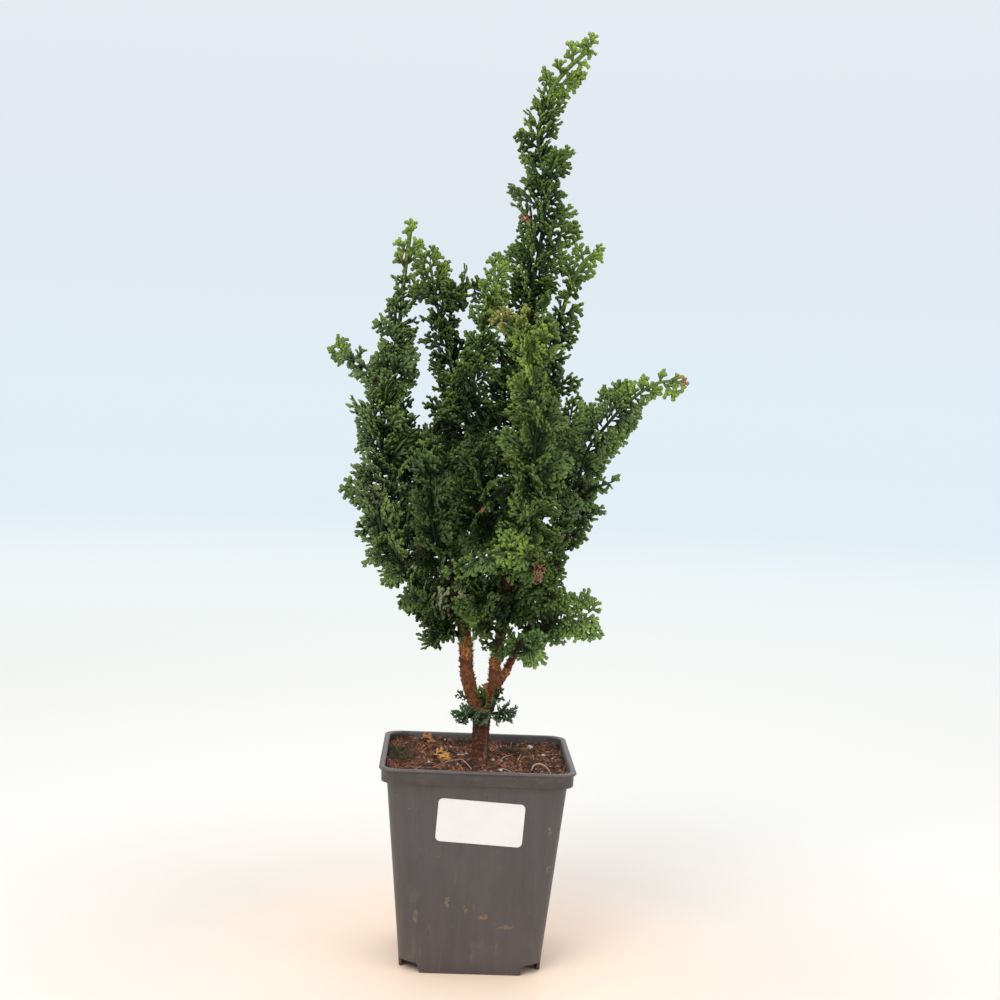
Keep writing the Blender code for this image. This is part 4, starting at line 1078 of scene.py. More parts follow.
def make_label():
    """A thin paper plate with round corners, laid on the front wall's slope."""
    width, height, thickness = LABEL_SIZE
    outline = rounded_outline(width / 2, height / 2, LABEL_CORNER, 0, 8)
    lifts = ((0.0, 1.0), (thickness * 0.7, 1.0), (thickness, 0.997))
    rows = [[Vector((p.x * s, p.y * s, GAP * 0.2 + lift)) for p in outline] for lift, s in lifts]
    made = add_object("paper_label", mesh_from("paper_label", *loft(rows)))
    slope = math.atan((SHOULDER_HALF - FOOT_HALF) / SHOULDER_HEIGHT)
    across, up = LABEL_CENTRE
    place = Matrix.Rotation(POT_TURN, 4, "Z") @ Matrix.Translation((across, -wall_half(up), up))
    lean = Matrix.Rotation(math.radians(90) + slope, 4, "X")
    made.data.transform(place @ lean @ Matrix.Rotation(LABEL_TURN, 4, "Z"))
    made.data.set_sharp_from_angle(angle=math.radians(40))
    dress(made, label_finish(), ["label"])


# Soil and what lies on it


def soil_height(x, y):
    """Uneven top of the soil, a little higher at the back and the left."""
    ripple = math.sin(210 * x + 1.1) * math.cos(170 * y + 0.6) + 0.6 * math.sin(420 * x - 380 * y)
    height = SOIL_LEVEL + SOIL_RELIEF * ripple + 0.016 * y - 0.018 * x
    spot = Vector((x, y, 0))
    lumps = noise.noise(spot * 160) + 0.6 * noise.noise(spot * 420) + 0.35 * noise.noise(spot * 1100)
    return max(SOIL_EDGE_LEVEL, height + sizes().soil_grain * lumps)


def soil_finish():
    made, graph = new_material("peat")
    place = graph.place()
    cloud = graph.noise(place, 130.0, 4.0)
    fibre = graph.noise(place, (900, 300, 900), 5.0, 0.7)
    crumb = graph.noise(place, 1300.0)
    colour = graph.paint(
        cloud.over(0.35, 0.65), tone("peat", 0.30), tone("peat", 0.9),
        (fibre.over(0.52, 0.68) * 0.6, tone("peat_light", 0.7)),
        (crumb.over(0.50, 0.62) * 0.7, tone("peat", 0.18)),
    )
    return end_material(made, graph, colour, 0.80 + cloud * 0.15, fibre * 0.6 + crumb * 0.4, 0.0006, 0.9)


def litter_finish(name, dark, light, rough=0.85, damp=0.0):
    """Colour of small dry things, different for each of them, with damp patches."""
    made, graph = new_material(name)
    place = graph.place()
    grain = graph.noise(place, 1600.0)
    patch = graph.noise(place, 190.0).over(0.47, 0.60)
    colour = graph.paint(
        graph.attribute("tint") ** 1.5, dark, light,
        (grain.over(0.45, 0.7) * 0.45, dark), (patch * damp, tone("peat", 0.13)),
    )
    return end_material(made, graph, colour, rough - 0.05 + grain * 0.1, grain, 0.0002, 0.7)


def dense_outline(half, corner, height):
    """Evenly spaced points round a square with round corners."""
    outline = rounded_outline(half, half, corner, height, 16)
    outline.append(outline[0])
    lengths = [0.0]
    for a, b in zip(outline, outline[1:]):
        lengths.append(lengths[-1] + (b - a).length)
    points = []
    index = 0
    for step in range(SOIL_POINTS):
        mark = lengths[-1] * step / SOIL_POINTS
        while lengths[index + 1] < mark:
            index += 1
        share = (mark - lengths[index]) / (lengths[index + 1] - lengths[index])
        points.append(outline[index].lerp(outline[index + 1], share))
    return points


def make_soil():
    """The root ball with its crumbly top, and that top alone for scattering on."""
    turn = Matrix.Rotation(POT_TURN, 4, "Z")
    low = FLOOR_TOP + GAP
    inner = WALL + GAP
    corner = RIM_CORNER - 0.001
    shoulder = SHOULDER_HALF - inner - 0.0006
    edge = dense_outline(BAND_HALF - inner, corner, 0)
    points = []
    faces = []
    for row in range(SOIL_ROWS):
        share = 1 - row / SOIL_ROWS
        for spot in edge:
            x = TRUNK_X * (1 - share) + spot.x * share
            y = spot.y * share
            points.append(Vector((x, y, soil_height(x, y))))
    last = (SOIL_ROWS - 1) * SOIL_POINTS
    for start in range(0, last, SOIL_POINTS):
        faces.extend(band(start, start + SOIL_POINTS, SOIL_POINTS))
    middle = len(points)
    points.append(Vector((TRUNK_X, 0, soil_height(TRUNK_X, 0))))
    faces.extend((last + i, last + (i + 1) % SOIL_POINTS, middle) for i in range(SOIL_POINTS))
    ground = add_object("ground", mesh_from("ground", points, faces))
    ground.data.transform(turn)
    upper = 0
    for outline in (
        (BAND_HALF - inner, corner, SOIL_EDGE_LEVEL - 0.0002),
        (shoulder, corner, SHOULDER_HEIGHT + 0.0010),
        (shoulder, corner, SHOULDER_HEIGHT - 0.0045),
        (wall_half(low) - inner, FOOT_CORNER - inner, low),
    ):
        lower = len(points)
        points.extend(dense_outline(*outline))
        # The first corner of a face decides which way it is split in two
        faces.extend((face[-1], *face[:-1]) for face in band(lower, upper, SOIL_POINTS))
        upper = lower
    faces.append(tuple(reversed(range(upper, upper + SOIL_POINTS))))
    made = add_object("root_ball", mesh_from("root_ball", points, faces))
    made.data.transform(turn)
    dress(made, soil_finish(), ["soil"])
    return ground


def weigh(mesh, name, rule):
    """Keeps a number between 0 and 1 on every point of a mesh."""
    kept = mesh.attributes.new(name, "FLOAT", "POINT")
    kept.data.foreach_set("value", [min(1.0, max(0.0, rule(v.co))) for v in mesh.vertices])


def near(point, *spot):
    """1 at the middle of a spot, falling to 0 at its radius."""
    *middle, radius = spot
    return max(0.0, 1 - (Vector(point) - Vector(middle)).length / radius)


STREWN_INPUTS = {
    "Density": 100000.0, "Where": "", "Smallest": 0.6, "Largest": 1.3, "Seed": 1,
    "Things": bpy.types.Collection, "Finish": bpy.types.Material,
}


def strew(graph, given):
    """Points strewn over a surface, the more the higher a number kept on it."""
    values = {"Mesh": given["Geometry"], "Density": given["Density"] * graph.named(given["Where"])}
    settings = {"distribute_method": "RANDOM"}
    return graph.add("GeometryNodeDistributePointsOnFaces", settings, {**values, "Seed": given["Seed"]})


def scatter_tree():
    """Lays loose things on a surface."""
    inputs = {**STREWN_INPUTS, "Least lean": -0.3, "Most lean": 0.2, "Sink": 0.0}
    tree, graph, given = new_tree("scatter", inputs)
    seed = given["Seed"]
    strewn = strew(graph, given)
    lean = graph.chance(given["Least lean"], given["Most lean"], seed, 1)
    spin = graph.chance(0.0, 2 * math.pi, seed, 2)
    angles = graph.join(graph.chance(-0.4, 0.4, seed, 3), lean, spin)
    added = graph.add("FunctionNodeEulerToRotation", {}, {0: angles})
    values = {0: graph.other(strewn, "Rotation"), 1: added}
    turn = graph.add("FunctionNodeRotateRotation", {"rotation_space": "LOCAL"}, values)
    drop = graph.join(z=given["Sink"] * -1.0)
    points = graph.add("GeometryNodeSetPosition", {}, {"Geometry": strewn, "Offset": drop})
    scale = graph.chance(given["Smallest"], given["Largest"], seed, 4)
    pick = graph.chance(0.0, LITTER_SHAPES - 0.01, seed, 5).one("FLOOR")
    tint = graph.chance(0.0, 1.0, seed, 6)
    end_tree(graph, place_things(graph, points, given["Things"], turn, pick, scale, tint), given["Finish"])
    return tree


def stub_tree():
    """Stands small scales on bark, pointing up and outwards."""
    tree, graph, given = new_tree("stubs", {**STREWN_INPUTS, "Upward": 0.8, "Outward": 0.9})
    seed = given["Seed"]
    points = strew(graph, given)
    normal = graph.other(points, "Normal")
    heading = graph.vector("SCALE", normal, given["Outward"])
    heading = graph.vector("ADD", heading, graph.join(z=given["Upward"]))
    heading = graph.vector("ADD", heading, graph.chances((0.4, 0.4, 0.4), seed, 1))
    turn = graph.facing(heading, normal)
    pick = graph.chance(0.0, BARK_SHAPES - 0.01, seed, 2).one("FLOOR")
    scale = graph.chance(given["Smallest"], given["Largest"], seed, 3)
    tint = graph.chance(0.0, 1.0, seed, 4)
    end_tree(graph, place_things(graph, points, given["Things"], turn, pick, scale, tint), given["Finish"])
    return tree


def new_group(name, meshes):
    """A collection of small shapes for a geometry tree to place, outside the scene."""
    group = bpy.data.collections.new(name)
    for mesh in meshes:
        add_object(mesh.name, mesh, group)
    return group


def drop_group(group):
    for made in list(group.objects):
        remove(made)
    bpy.data.collections.remove(group)


def cover(base, tree, jobs, labels, seed_step):
    """Makes pieces of small things that stand or lie on another piece, one for each job."""
    labels = ("Density", "Where", "Smallest", "Largest", *labels)
    for number, (name, shapes, finish, slot, *numbers) in enumerate(jobs):
        group = new_group(name, [mesh_from(f"{name}_{i:02d}", *shape) for i, shape in enumerate(shapes)])
        values = {"Things": group, "Finish": finish, "Seed": sizes().seed + seed_step * number}
        made = run_modifier(base, tree, {**values, **dict(zip(labels, numbers))}, name)
        drop_group(group)
        dress(made, finish)


def lay_down(name, parts, tint, finish):
    """Makes a piece of parts that lie on the soil, with a tint on each of its points."""
    made = add_object(name, mesh_from(name, *joined(parts)))
    weigh(made.data, "tint", tint)
    dress(made, finish)


def fibre_shape(chance, length, radius):
    """A thin bent fibre that lies along X."""
    points = []
    bend = chance.uniform(-0.9, 0.9)
    wave = chance.uniform(-0.3, 0.3)
    for row in range(4):
        share = row / 3 - 0.5
        y = bend * share * share * length + wave * math.sin(share * 9) * length * 0.2
        points.append(Vector((share * length, y, -abs(share) * length * chance.uniform(0.0, 0.25))))
    return tube(points, [radius * share for share in (0.5, 1, 1, 0.5)], 3)


def lump_shape(chance, radius, flatness, level):
    """A small uneven grain."""
    shape = bmesh.new()
    bmesh.ops.create_icosphere(shape, subdivisions=level, radius=radius)
    offset = Vector([chance.uniform(-9, 9) for _ in range(3)])
    for vertex in shape.verts:
        vertex.co *= 1 + 0.55 * noise.noise(vertex.co / radius * 0.9 + offset)
        vertex.co.z *= flatness
    points = [v.co.copy() for v in shape.verts]
    faces = [tuple(v.index for v in f.verts) for f in shape.faces]
    shape.free()
    return points, faces


def blade_shape(chance, length, radius):
    """A thin blade that rises along X and bends over."""
    bend = chance.uniform(0.2, 0.8)
    shares = (0, 1 / 3, 2 / 3, 1)
    points = [Vector((share * length, 0, -bend * share * share * length * 0.5)) for share in shares]
    return tube(points, [radius * (1 - 0.85 * share) for share in shares], 3)


def make_litter(ground):
    """Peat fibres, crumbs, perlite and moss on the top of the soil."""
    chance = random.Random(sizes().seed + 40)
    trunk = Vector((TRUNK_X, 0))
    moss = [metres(*row) for row in MOSS_PLACES]
    weigh(ground.data, "open", lambda p: 1.0 if (p.xy - trunk).length > BARE_RING else 0.2)
    weigh(ground.data, "mossy", lambda p: 1.5 * max(near((p.x, p.y, 0), *spot) for spot in moss))
    # Name, shapes, finish and slot, then density and where, sizes, leans and how deep each kind sinks
    jobs = [
        (
            "peat_fibres",
            [fibre_shape(chance, chance.uniform(0.004, 0.008), 0.00016) for _ in range(LITTER_SHAPES)],
            litter_finish("peat_fibre", tone("peat", 0.26), tone("peat_light", 1.60), damp=0.85), "peat",
            370000.0, "open", 0.5, 1.3, -0.75, 0.25, -0.0002,
        ),
        (
            "peat_crumbs", [lump_shape(chance, 0.00055, 0.8, 1) for _ in range(LITTER_SHAPES)],
            litter_finish("peat_crumb", tone("peat", 0.20), tone("peat_light", 0.85), damp=0.7), "peat",
            130000.0, "open", 0.4, 2.5, -0.5, 0.5, 0.0,
        ),
        (
            "perlite_grains", [lump_shape(chance, 0.00075, 0.85, 2) for _ in range(LITTER_SHAPES)],
            litter_finish("perlite", tone("perlite", 0.72), tone("perlite")), "peat",
            4200.0, "open", 0.30, 0.85, -0.5, 0.5, -0.0002,
        ),
        (
            "moss",
            [blade_shape(chance, chance.uniform(0.0022, 0.0042), 0.00022) for _ in range(LITTER_SHAPES)],
            litter_finish("moss", tone("moss", 0.6), tone("moss", 1.8), 0.7), "leaf_deep_green",
            2000000.0, "mossy", 0.6, 1.25, -1.5, -0.5, 0.0001,
        ),
    ]
    cover(ground, scatter_tree(), jobs, ("Least lean", "Most lean", "Sink"), 10)
    remove(ground)


def make_roots():
    parts = []
    for thickness, route in ROOTS:
        spots = [metres(*spot) for spot in route]
        points = smooth_route([(x, y, soil_height(x, y) + lift) for x, y, lift in spots], 6)
        radius = thickness / MILLIMETRES
        radii = [radius * (0.7 + 0.3 * math.sin(math.pi * share)) for share in shares_of(points)]
        parts.append(tube(points, radii, 6))
    finish = litter_finish("dry_root", (0.060, 0.045, 0.035), tone("root"), 0.7)
    lay_down(
        "thin_roots", parts,
        lambda p: 0.75 + 0.4 * noise.noise(p * 120) - 2.0 * near(p, *TWIG), finish,
    )


def make_pale_stones():
    chance = random.Random(5)
    parts = []
    for *spot, flatness in PALE_STONES:
        x, y, radius = metres(*spot)
        points, faces = lump_shape(chance, radius, flatness, 2)
        shift = Vector((x, y, soil_height(x, y) + radius * 0.35))
        parts.append(([p + shift for p in points], faces))
    finish = litter_finish("pale_stone", (0.50, 0.42, 0.36), (0.80, 0.72, 0.66), 0.6)
    lay_down("pale_stones", parts, lambda p: 0.7 + 0.3 * noise.noise(p * 500), finish)


def make_dead_sprigs():
    chance = random.Random(sizes().seed + 70)
    parts = []
    for x, y, turn, lean, roll, size in DEAD_SPRIGS:
        x, y = metres(x, y)
        spray = Spray(SPRIG_LENGTH, chance, SPRIG_WIDTH)
        place = Matrix.Translation((x, y, soil_height(x, y) + 0.0010))
        for angle, axis in ((turn, "Z"), (-lean, "Y"), (roll, "X")):
            place = place @ Matrix.Rotation(math.radians(angle), 4, axis)
        place = place @ Matrix.Scale(size, 4)
        parts.append(([place @ p for p in spray.points], spray.faces))
    finish = litter_finish("dead_sprig", (0.260, 0.090, 0.025), (0.700, 0.370, 0.090), 0.7)
    lay_down(
        "dead_sprigs", parts,
        lambda p: 0.50 + 0.5 * noise.noise(p * 260) + 1.2 * near(p, *YELLOW_SPRIG),
        finish,
    )


# Wood


def bark_finish():
    made, graph = new_material("bark")
    place = graph.place()
    across, _, height = graph.axes(place)
    fibre = graph.noise(place, (1100, 1100, 260), 5.0, 0.65)
    rings = graph.noise(place, (240, 240, 1300))
    cloud = graph.noise(place, 160.0, 4.0)
    flaky = graph.attribute("flaky")
    trunk = 1 - height.over(*TRUNK_TOP)
    speckle = graph.noise(place, 700.0).over(0.56, 0.66)
    patch = (flaky * 1.3 + cloud * 0.5).over(0.62, 0.95)
    streak = (1 - (across - STREAK_X).one("ABSOLUTE").over(*STREAK_EDGES)) * trunk
    streak = streak * graph.noise(place, (500, 500, 90)).over(0.42, 0.6)
    colour = graph.paint(
        cloud.over(0.3, 0.7), tone("bark", 0.45), tone("bark", 1.25),
        (fibre.over(0.55, 0.75) * 0.6, tone("bark", 2.2)),
        (rings.over(0.55, 0.70) * 0.45, tone("bark", 0.30)),
        (trunk * 0.85, OLD_BARK),
        (speckle * (0.20 + flaky * 0.8), tone("bark_peel")),
        (patch * 0.85, tone("bark_peel", 0.85)),
        (streak * 0.35, GREY_STREAK),
    )
    relief = fibre * 0.5 + rings * 0.5
    return end_material(made, graph, colour, 0.68 + cloud * 0.2, relief, 0.0004, 0.8, 0.28)


def scale_shape(chance, length, width, thickness):
    """A flat pointed scale along X."""
    rows = []
    for share, size in ((0.0, 0.8), (0.5, 1.0), (1.0, 0.08)):
        lift = length * 0.25 * share * share * chance.uniform(0.3, 1.0)
        centre = Vector((length * (share - 0.15), 0, lift))
        rows.append(ring(centre, ALONG_Y * width, ALONG_Z * thickness, size, 4))
    return loft(rows)


def make_wood():
    """Trunk and stems grown together, with bark relief, scale stubs and peeling flakes."""
    parts = []
    for radii, corners in STEMS.values():
        low, high = metres(*radii)
        points = smooth_route([metres(*corner) for corner in corners], 12)
        parts.append(tube(points, [low + (high - low) * share ** 1.5 for share in shares_of(points)], 16))
    made = add_object("wood", mesh_from("wood", *joined(parts)))
    remesh = made.modifiers.new("remesh", "REMESH")
    remesh.mode = "VOXEL"
    remesh.voxel_size = sizes().bark_voxel
    settle(made)
    shape = bmesh.new()
    shape.from_mesh(made.data)
    every = {"use_axis_x": True, "use_axis_y": True, "use_axis_z": True}
    for _ in range(3):
        bmesh.ops.smooth_vert(shape, verts=shape.verts, factor=0.5, **every)
    shape.normal_update()
    for vertex in shape.verts:
        spot = vertex.co
        ridges = math.sin(spot.z * 2 * math.pi / RIDGE_STEP + 4 * noise.noise(spot * 260))
        rise = 1.1 * noise.noise(spot * 280) + 0.7 * noise.noise(spot * 700) + 0.45 * ridges
        foot = max(0.0, 1 - (spot.z - TRUNK_FOOT) / FLARE_HEIGHT)
        flare = FLARE * foot * (0.6 + noise.noise(spot * 300))
        vertex.co += vertex.normal * (sizes().bark_grain * rise + flare)
    shape.to_mesh(made.data)
    shape.free()
    made.data.shade_smooth()
    flaky = [metres(*row) for row in FLAKY_PLACES]
    weigh(made.data, "flaky", lambda p: 1.6 * max(near(p, *spot) for spot in flaky))
    many, few = STUBS_ABOVE
    weigh(made.data, "stubby", lambda p: 1.0 if p.z > many else 0.12 if p.z > few else 0.0)
    chance = random.Random(sizes().seed + 90)
    # Name, shapes, finish and slot, then density and where, sizes, and how far each kind points up and out
    jobs = [
        (
            "bark_scales", [scale_shape(chance, 0.0011, 0.00045, 0.00018) for _ in range(BARK_SHAPES)],
            litter_finish("bark_scale", tone("bark", 0.50), tone("bark_peel", 0.95), 0.75), "bark",
            330000.0, "stubby", 0.6, 1.35, 0.85, 0.65,
        ),
        (
            "bark_flakes", [scale_shape(chance, 0.0019, 0.0006, 0.00016) for _ in range(BARK_SHAPES)],
            litter_finish("bark_flake", tone("bark_peel", 0.35), tone("bark_peel", 1.30), 0.7), "bark",
            1000000.0, "flaky", 0.5, 1.2, 0.9, 0.55,
        ),
    ]
    cover(made, stub_tree(), jobs, ("Upward", "Outward"), 5)
    dress(made, bark_finish(), ["trunk_and_stems"])


# Leaves


class Spray:
    """One flat spray of leafy branchlets along X, with Z as its upper side."""

    def __init__(self, length, chance, width=None):
        self.length = length
        self.chance = chance
        self.points = []
        self.faces = []
        self.marks = {"out": [], "tip": [], "along": []}
        self.half_width = (width or sizes().finger_width) / 2
        self.half_thickness = min(FINGER_HALF_THICKNESS, self.half_width * 0.6)
        self.grow(Vector((0, 0, 0)), 0.0, 0.0, length, 0)
        self.cup()

    def grow(self, base, angle, lift, length, level):
        """Adds an axis, then its side axes alternately to the left and the right."""
        flat = math.cos(lift)
        heading = Vector((math.cos(angle) * flat, math.sin(angle) * flat, math.sin(lift)))
        self.finger(base, heading, length, level)
        if level == 2 or length < SHORTEST_FORKED:
            return
        distance = max(0.0016, length * 0.20) if level == 0 else 0.0014
        side = self.chance.choice((-1, 1))
        while distance < length - 0.0007:
            share = distance / length
            if level == 0:
                reach = length * 0.60 * (1 - max(0.0, share - 0.28) / 0.72 * 0.62)
                turn = RANK_TURN - RANK_CLOSING * share
            else:
                reach = min(LONGEST_FINGER, (length - distance) * 0.75 + 0.0012)
                turn = FINGER_TURN
            reach *= self.chance.uniform(0.84, 1.12)
            turned = angle + side * turn * self.chance.uniform(0.85, 1.15)
            raised = lift * 0.5 + self.chance.uniform(-LIFT, LIFT)
            self.grow(base + heading * distance, turned, raised, reach, level + 1)
            distance += FINGER_STEPS[level] * self.chance.uniform(0.9, 1.12)
            side = -side

    def finger(self, base, heading, length, level):
        """A blunt branchlet with a keel on its upper side, closed at both ends."""
        across = Vector((0, 0, 1)).cross(heading).normalized()
        keel = heading.cross(across) * self.half_thickness
        edges = (across * self.half_width - keel * 0.5, keel, across * -self.half_width - keel * 0.5)
        rows = max(2, round(length / 0.0024) + 1)
        start = len(self.points)
        self.mark(base, 0.0, 0.0)
        for row in range(rows):
            share = 0.20 + 0.64 * row / (rows - 1)
            wide = 0.72 + 0.30 * share if level else 0.55 + 0.40 * share
            centre = base + heading * length * share
            for edge in edges:
                self.mark(centre + edge * wide, share, length * share)
        self.mark(base + heading * length, 1.0, length)
        last = start + 1 + 3 * (rows - 1)
        for k in range(3):
            j = (k + 1) % 3
            self.faces.append((start + 1 + j, start + 1 + k, start))
            for low in range(start + 1, last, 3):
                self.faces.append((low + k, low + j, low + 3 + j, low + 3 + k))
            self.faces.append((last + k, last + j, last + 3))

    def mark(self, point, tip, along):
        self.points.append(point)
        self.marks["out"].append(point.length / self.length)
        self.marks["tip"].append(tip)
        self.marks["along"].append(along)

    def cup(self):
        """Bends the spray into a shallow shell."""
        droop = self.chance.uniform(-0.28, 0.05)
        curl = self.chance.uniform(-0.45, -0.10)
        for point in self.points:
            point.z += droop * point.x * abs(point.x) / self.length + curl * point.y * point.y / self.length

    def mesh(self, name):
        made = mesh_from(name, self.points, self.faces)
        for label, values in self.marks.items():
            made.attributes.new(label, "FLOAT", "POINT").data.foreach_set("value", values)
        return made


def spray_group():
    """The sprays that every shoot is built from, sorted by length."""
    meshes = []
    for i in range(len(SPRAY_LENGTHS) * SPRAY_SHAPES):
        chance = random.Random(sizes().seed * 100 + i)
        meshes.append(Spray(SPRAY_LENGTHS[i // SPRAY_SHAPES], chance).mesh(f"spray_{i:02d}"))
    return new_group("sprays", meshes)


def shoot_tree():
    """Grows sprays round a shoot's route, and the green stem that carries them."""
    inputs = {
        "Spacing": 0.003, "Spray share": 1.1, "Foot lean": 0.5, "Tip lean": 1.1, "Spin": GOLDEN_ANGLE,
        "Least roll": 0.0, "Roll": 0.7, "Flat from": NEVER, "Flat lean": 0.66, "Sparse from": NEVER,
        "Fineness": 1.0, "Lobes": 0.52, "Stem foot": 0.0009, "Stem tip": 0.0007, "Seed": 1,
        "Sprays": bpy.types.Collection, "Finish": bpy.types.Material,
    }
    tree, graph, given = new_tree("shoot", inputs)
    seed = given["Seed"]
    curve = graph.store(given["Geometry"], "age", graph.add("GeometryNodeSplineParameter"))
    curve = graph.store(curve, "reach", graph.add("GeometryNodeInputRadius"))
    curve = graph.add("GeometryNodeSetCurveNormal", {"mode": "Z_UP"}, {"Curve": curve})
    values = {"Curve": curve, "Length": given["Spacing"]}
    points = graph.add("GeometryNodeCurveToPoints", {"mode": "LENGTH"}, values)
    tangent = graph.other(points, "Tangent")
    normal = graph.other(points, "Normal")
    reach = graph.named("reach")
    age = graph.named("age")
    index = graph.add("GeometryNodeInputIndex")
    late = graph.more(age, given["Flat from"])

    # Near a tip every other pair is left out and the rest are longer, so that they stand apart
    sparse = age.over(given["Sparse from"], given["Sparse from"] + 0.001) * (1 - age.over(0.975, 0.976))
    left_out = (index / 4.0).one("FRACT").over(0.45, 0.46) * sparse + (0.0012 - reach).over(0.0, 0.00001)
    bare = graph.more(left_out, 0.5)

    # Sprays stand round the shoot, and late ones to its two sides
    spin = graph.turned(normal, tangent, index * given["Spin"] + graph.chance(-0.3, 0.3, seed, 1))
    odd = index - (index / 2.0).one("FLOOR") * 2.0
    flat = graph.vector("NORMALIZE", graph.vector("CROSS_PRODUCT", tangent, (0.0, 1.0, 0.0)))
    flat = graph.vector("SCALE", flat, odd * 2.0 - 1.0)
    flat = graph.vector("ADD", flat, graph.join(y=graph.chance(-1.0, 0.4, seed, 9)))
    flat = graph.vector("NORMALIZE", flat)
    switch = {"input_type": "VECTOR"}
    outward = graph.add("GeometryNodeSwitch", switch, {"Switch": late, "False": spin, "True": flat})

    # They lean along the shoot, the more the nearer its tip
    lean = graph.blend(age ** 2.0, given["Foot lean"], given["Tip lean"])
    lean = graph.blend(age.over(given["Flat from"] - 0.02, given["Flat from"]), lean, given["Flat lean"])
    lean = graph.blend(age.over(0.965, 0.985), lean, 1.15) + graph.chance(-0.22, 0.22, seed, 2)
    heading = graph.vector("SCALE", outward, lean.one("COSINE"))
    heading = graph.vector("ADD", heading, graph.vector("SCALE", tangent, lean.one("SINE")))

    # They roll to either side, and late ones face the front
    roll = graph.chance(given["Least roll"], given["Roll"], seed, 3)
    roll = roll * (graph.chance(0.0, 2.0, seed, 8).one("FLOOR") * 2.0 - 1.0)
    front = graph.vector("ADD", (0.0, -1.0, 0.0), graph.chances((0.5, 0.2, 0.5), seed, 4))
    values = {"Switch": late, "False": graph.turned(tangent, heading, roll), "True": front}
    turn = graph.facing(heading, graph.add("GeometryNodeSwitch", switch, values))

    # Their lengths swell in lobes, and the template nearest in length is scaled to fit
    spot = graph.vector("SCALE", outward, reach * 0.7)
    spot = graph.vector("ADD", graph.add("GeometryNodeInputPosition"), spot)
    swell = graph.noise(spot, 78.0, 1.0).over(0.36, 0.64) - 0.5
    length = reach * given["Spray share"] * graph.chance(0.84, 1.10, seed, 5) * (1 + swell * given["Lobes"])
    length = length * (1 + sparse * 0.30)
    step = SPRAY_LENGTHS[1] - SPRAY_LENGTHS[0]
    sort = ((length * given["Fineness"] - SPRAY_LENGTHS[0]) / step + 0.5).one("FLOOR")
    sort = graph.add("ShaderNodeClamp", {}, {"Value": sort, "Min": 0.0, "Max": len(SPRAY_LENGTHS) - 1.0})
    pick = sort * SPRAY_SHAPES + graph.chance(0.0, SPRAY_SHAPES - 0.01, seed, 6).one("FLOOR")
    scale = length / (sort * step + SPRAY_LENGTHS[0])
    values = {"Geometry": points, "Selection": bare}
    points = graph.add("GeometryNodeDeleteGeometry", {"domain": "POINT"}, values)
    tint = graph.chance(0.0, 1.0, seed, 7)
    placed = place_things(graph, points, given["Sprays"], turn, pick, scale, tint)

    radius = graph.blend(age, given["Stem foot"], given["Stem tip"])
    stem = graph.add("GeometryNodeSetCurveRadius", {}, {"Curve": curve, "Radius": radius})
    ring_curve = graph.add("GeometryNodeCurvePrimitiveCircle", {}, {"Resolution": 7, "Radius": 1.0})
    stem = graph.add("GeometryNodeCurveToMesh", {}, {
        "Curve": stem, "Profile Curve": ring_curve, "Scale": graph.add("GeometryNodeInputRadius"),
        "Fill Caps": True,
    })
    for label, value in (("stem", 1.0), ("along", age * 0.11), ("out", age)):
        stem = graph.store(stem, label, value)
    both = graph.add("GeometryNodeJoinGeometry", {}, {"Geometry": placed})
    graph.tree.links.new(stem.socket, both.socket.node.inputs["Geometry"])
    end_tree(graph, both, given["Finish"])
    return tree


def leaf_finish(name, deep, mid, fresh, tip_share):
    """Scale leaves: old and in painted shade inside, fresh and with painted highlights at the ends, with
    the pattern of the scales.
    """
    made, graph = new_material(name)
    place = graph.place()
    labels = ("out", "tip", "along", "age", "tint", "stem", "bright", "golden", "pale", "brown", "shady")
    out, tip, along, age, tint, stem, bright, golden, pale, brown, shady = map(graph.attribute, labels)
    cloud = graph.noise(place, 55.0)
    grain = graph.noise(place, 620.0)
    saw = (along / sizes().scale_length + tint * 3.0).one("FRACT")
    seam = 1 - saw.over(0.0, 0.30)
    # Darker towards each spray's base: older leaves there, and painted shade
    ripe_and_lit = (out * 0.75 + tip * 0.45 + cloud * 0.6 + tint * 0.20).over(0.60, 1.35)
    lit = (tip * 0.4 + out * 0.4 + grain * 0.7 + tint * 0.3).over(0.90, 1.55)
    scorched = (tip * 0.6 + out * 0.5 + cloud * 0.3).over(0.5, 1.15)
    # Whitish bloom near the ends of the branchlets, partly real bloom and partly a painted sheen
    bloom_and_sheen = graph.noise(place, 340.0, 2.0).over(0.56, 0.70) * tip.over(0.2, 0.9)
    wood = graph.paint(
        age.over(0.10, 0.45), tone("bark", 0.30), tone("leaf_deep", 1.3),
        (grain.over(0.45, 0.65) * 0.5, tone("bark", 0.22)),
    )
    old = (1 - age.over(0.35, 0.65)) * (1 - bright.over(0.05, 0.4))
    colour = graph.paint(
        ripe_and_lit, deep, mid,
        (tint.over(0.60, 0.95) * 0.60 * ripe_and_lit, tone("leaf_blue")),
        # Painted shade at the base of every branchlet, where the branchlets overlap
        ((1 - tip).over(0.50, 1.0) * 0.55 * (1 - stem), deep),
        # Fresh colour at the lit ends and in the bright places: new growth with a painted highlight
        (lit * tip_share + bright * (0.35 + lit * 0.65) * 0.95, fresh),
        (golden * (0.05 + scorched * 0.70), tone("leaf_golden")),
        ((pale * 1.4 - tint * 0.5).over(0.1, 0.7) * 0.7, PALE_LEAF),
        ((brown * 2.0).over(0.2, 0.9), tone("leaf_withered")),
        (bloom_and_sheen * 0.30, LEAF_BLOOM_AND_SHEEN),
        (seam * 0.45, deep),
        (grain.over(0.5, 0.75) * 0.22, deep),
        (shady.over(0.0, 0.55) * 0.85, tone("leaf_deep", 0.7)),
        (stem * old, wood),
    )
    rough = 0.50 + grain * 0.18 + seam * 0.08
    return end_material(made, graph, colour, rough, saw * 0.6 + grain * 0.4, 0.00022, 0.7, 0.22)


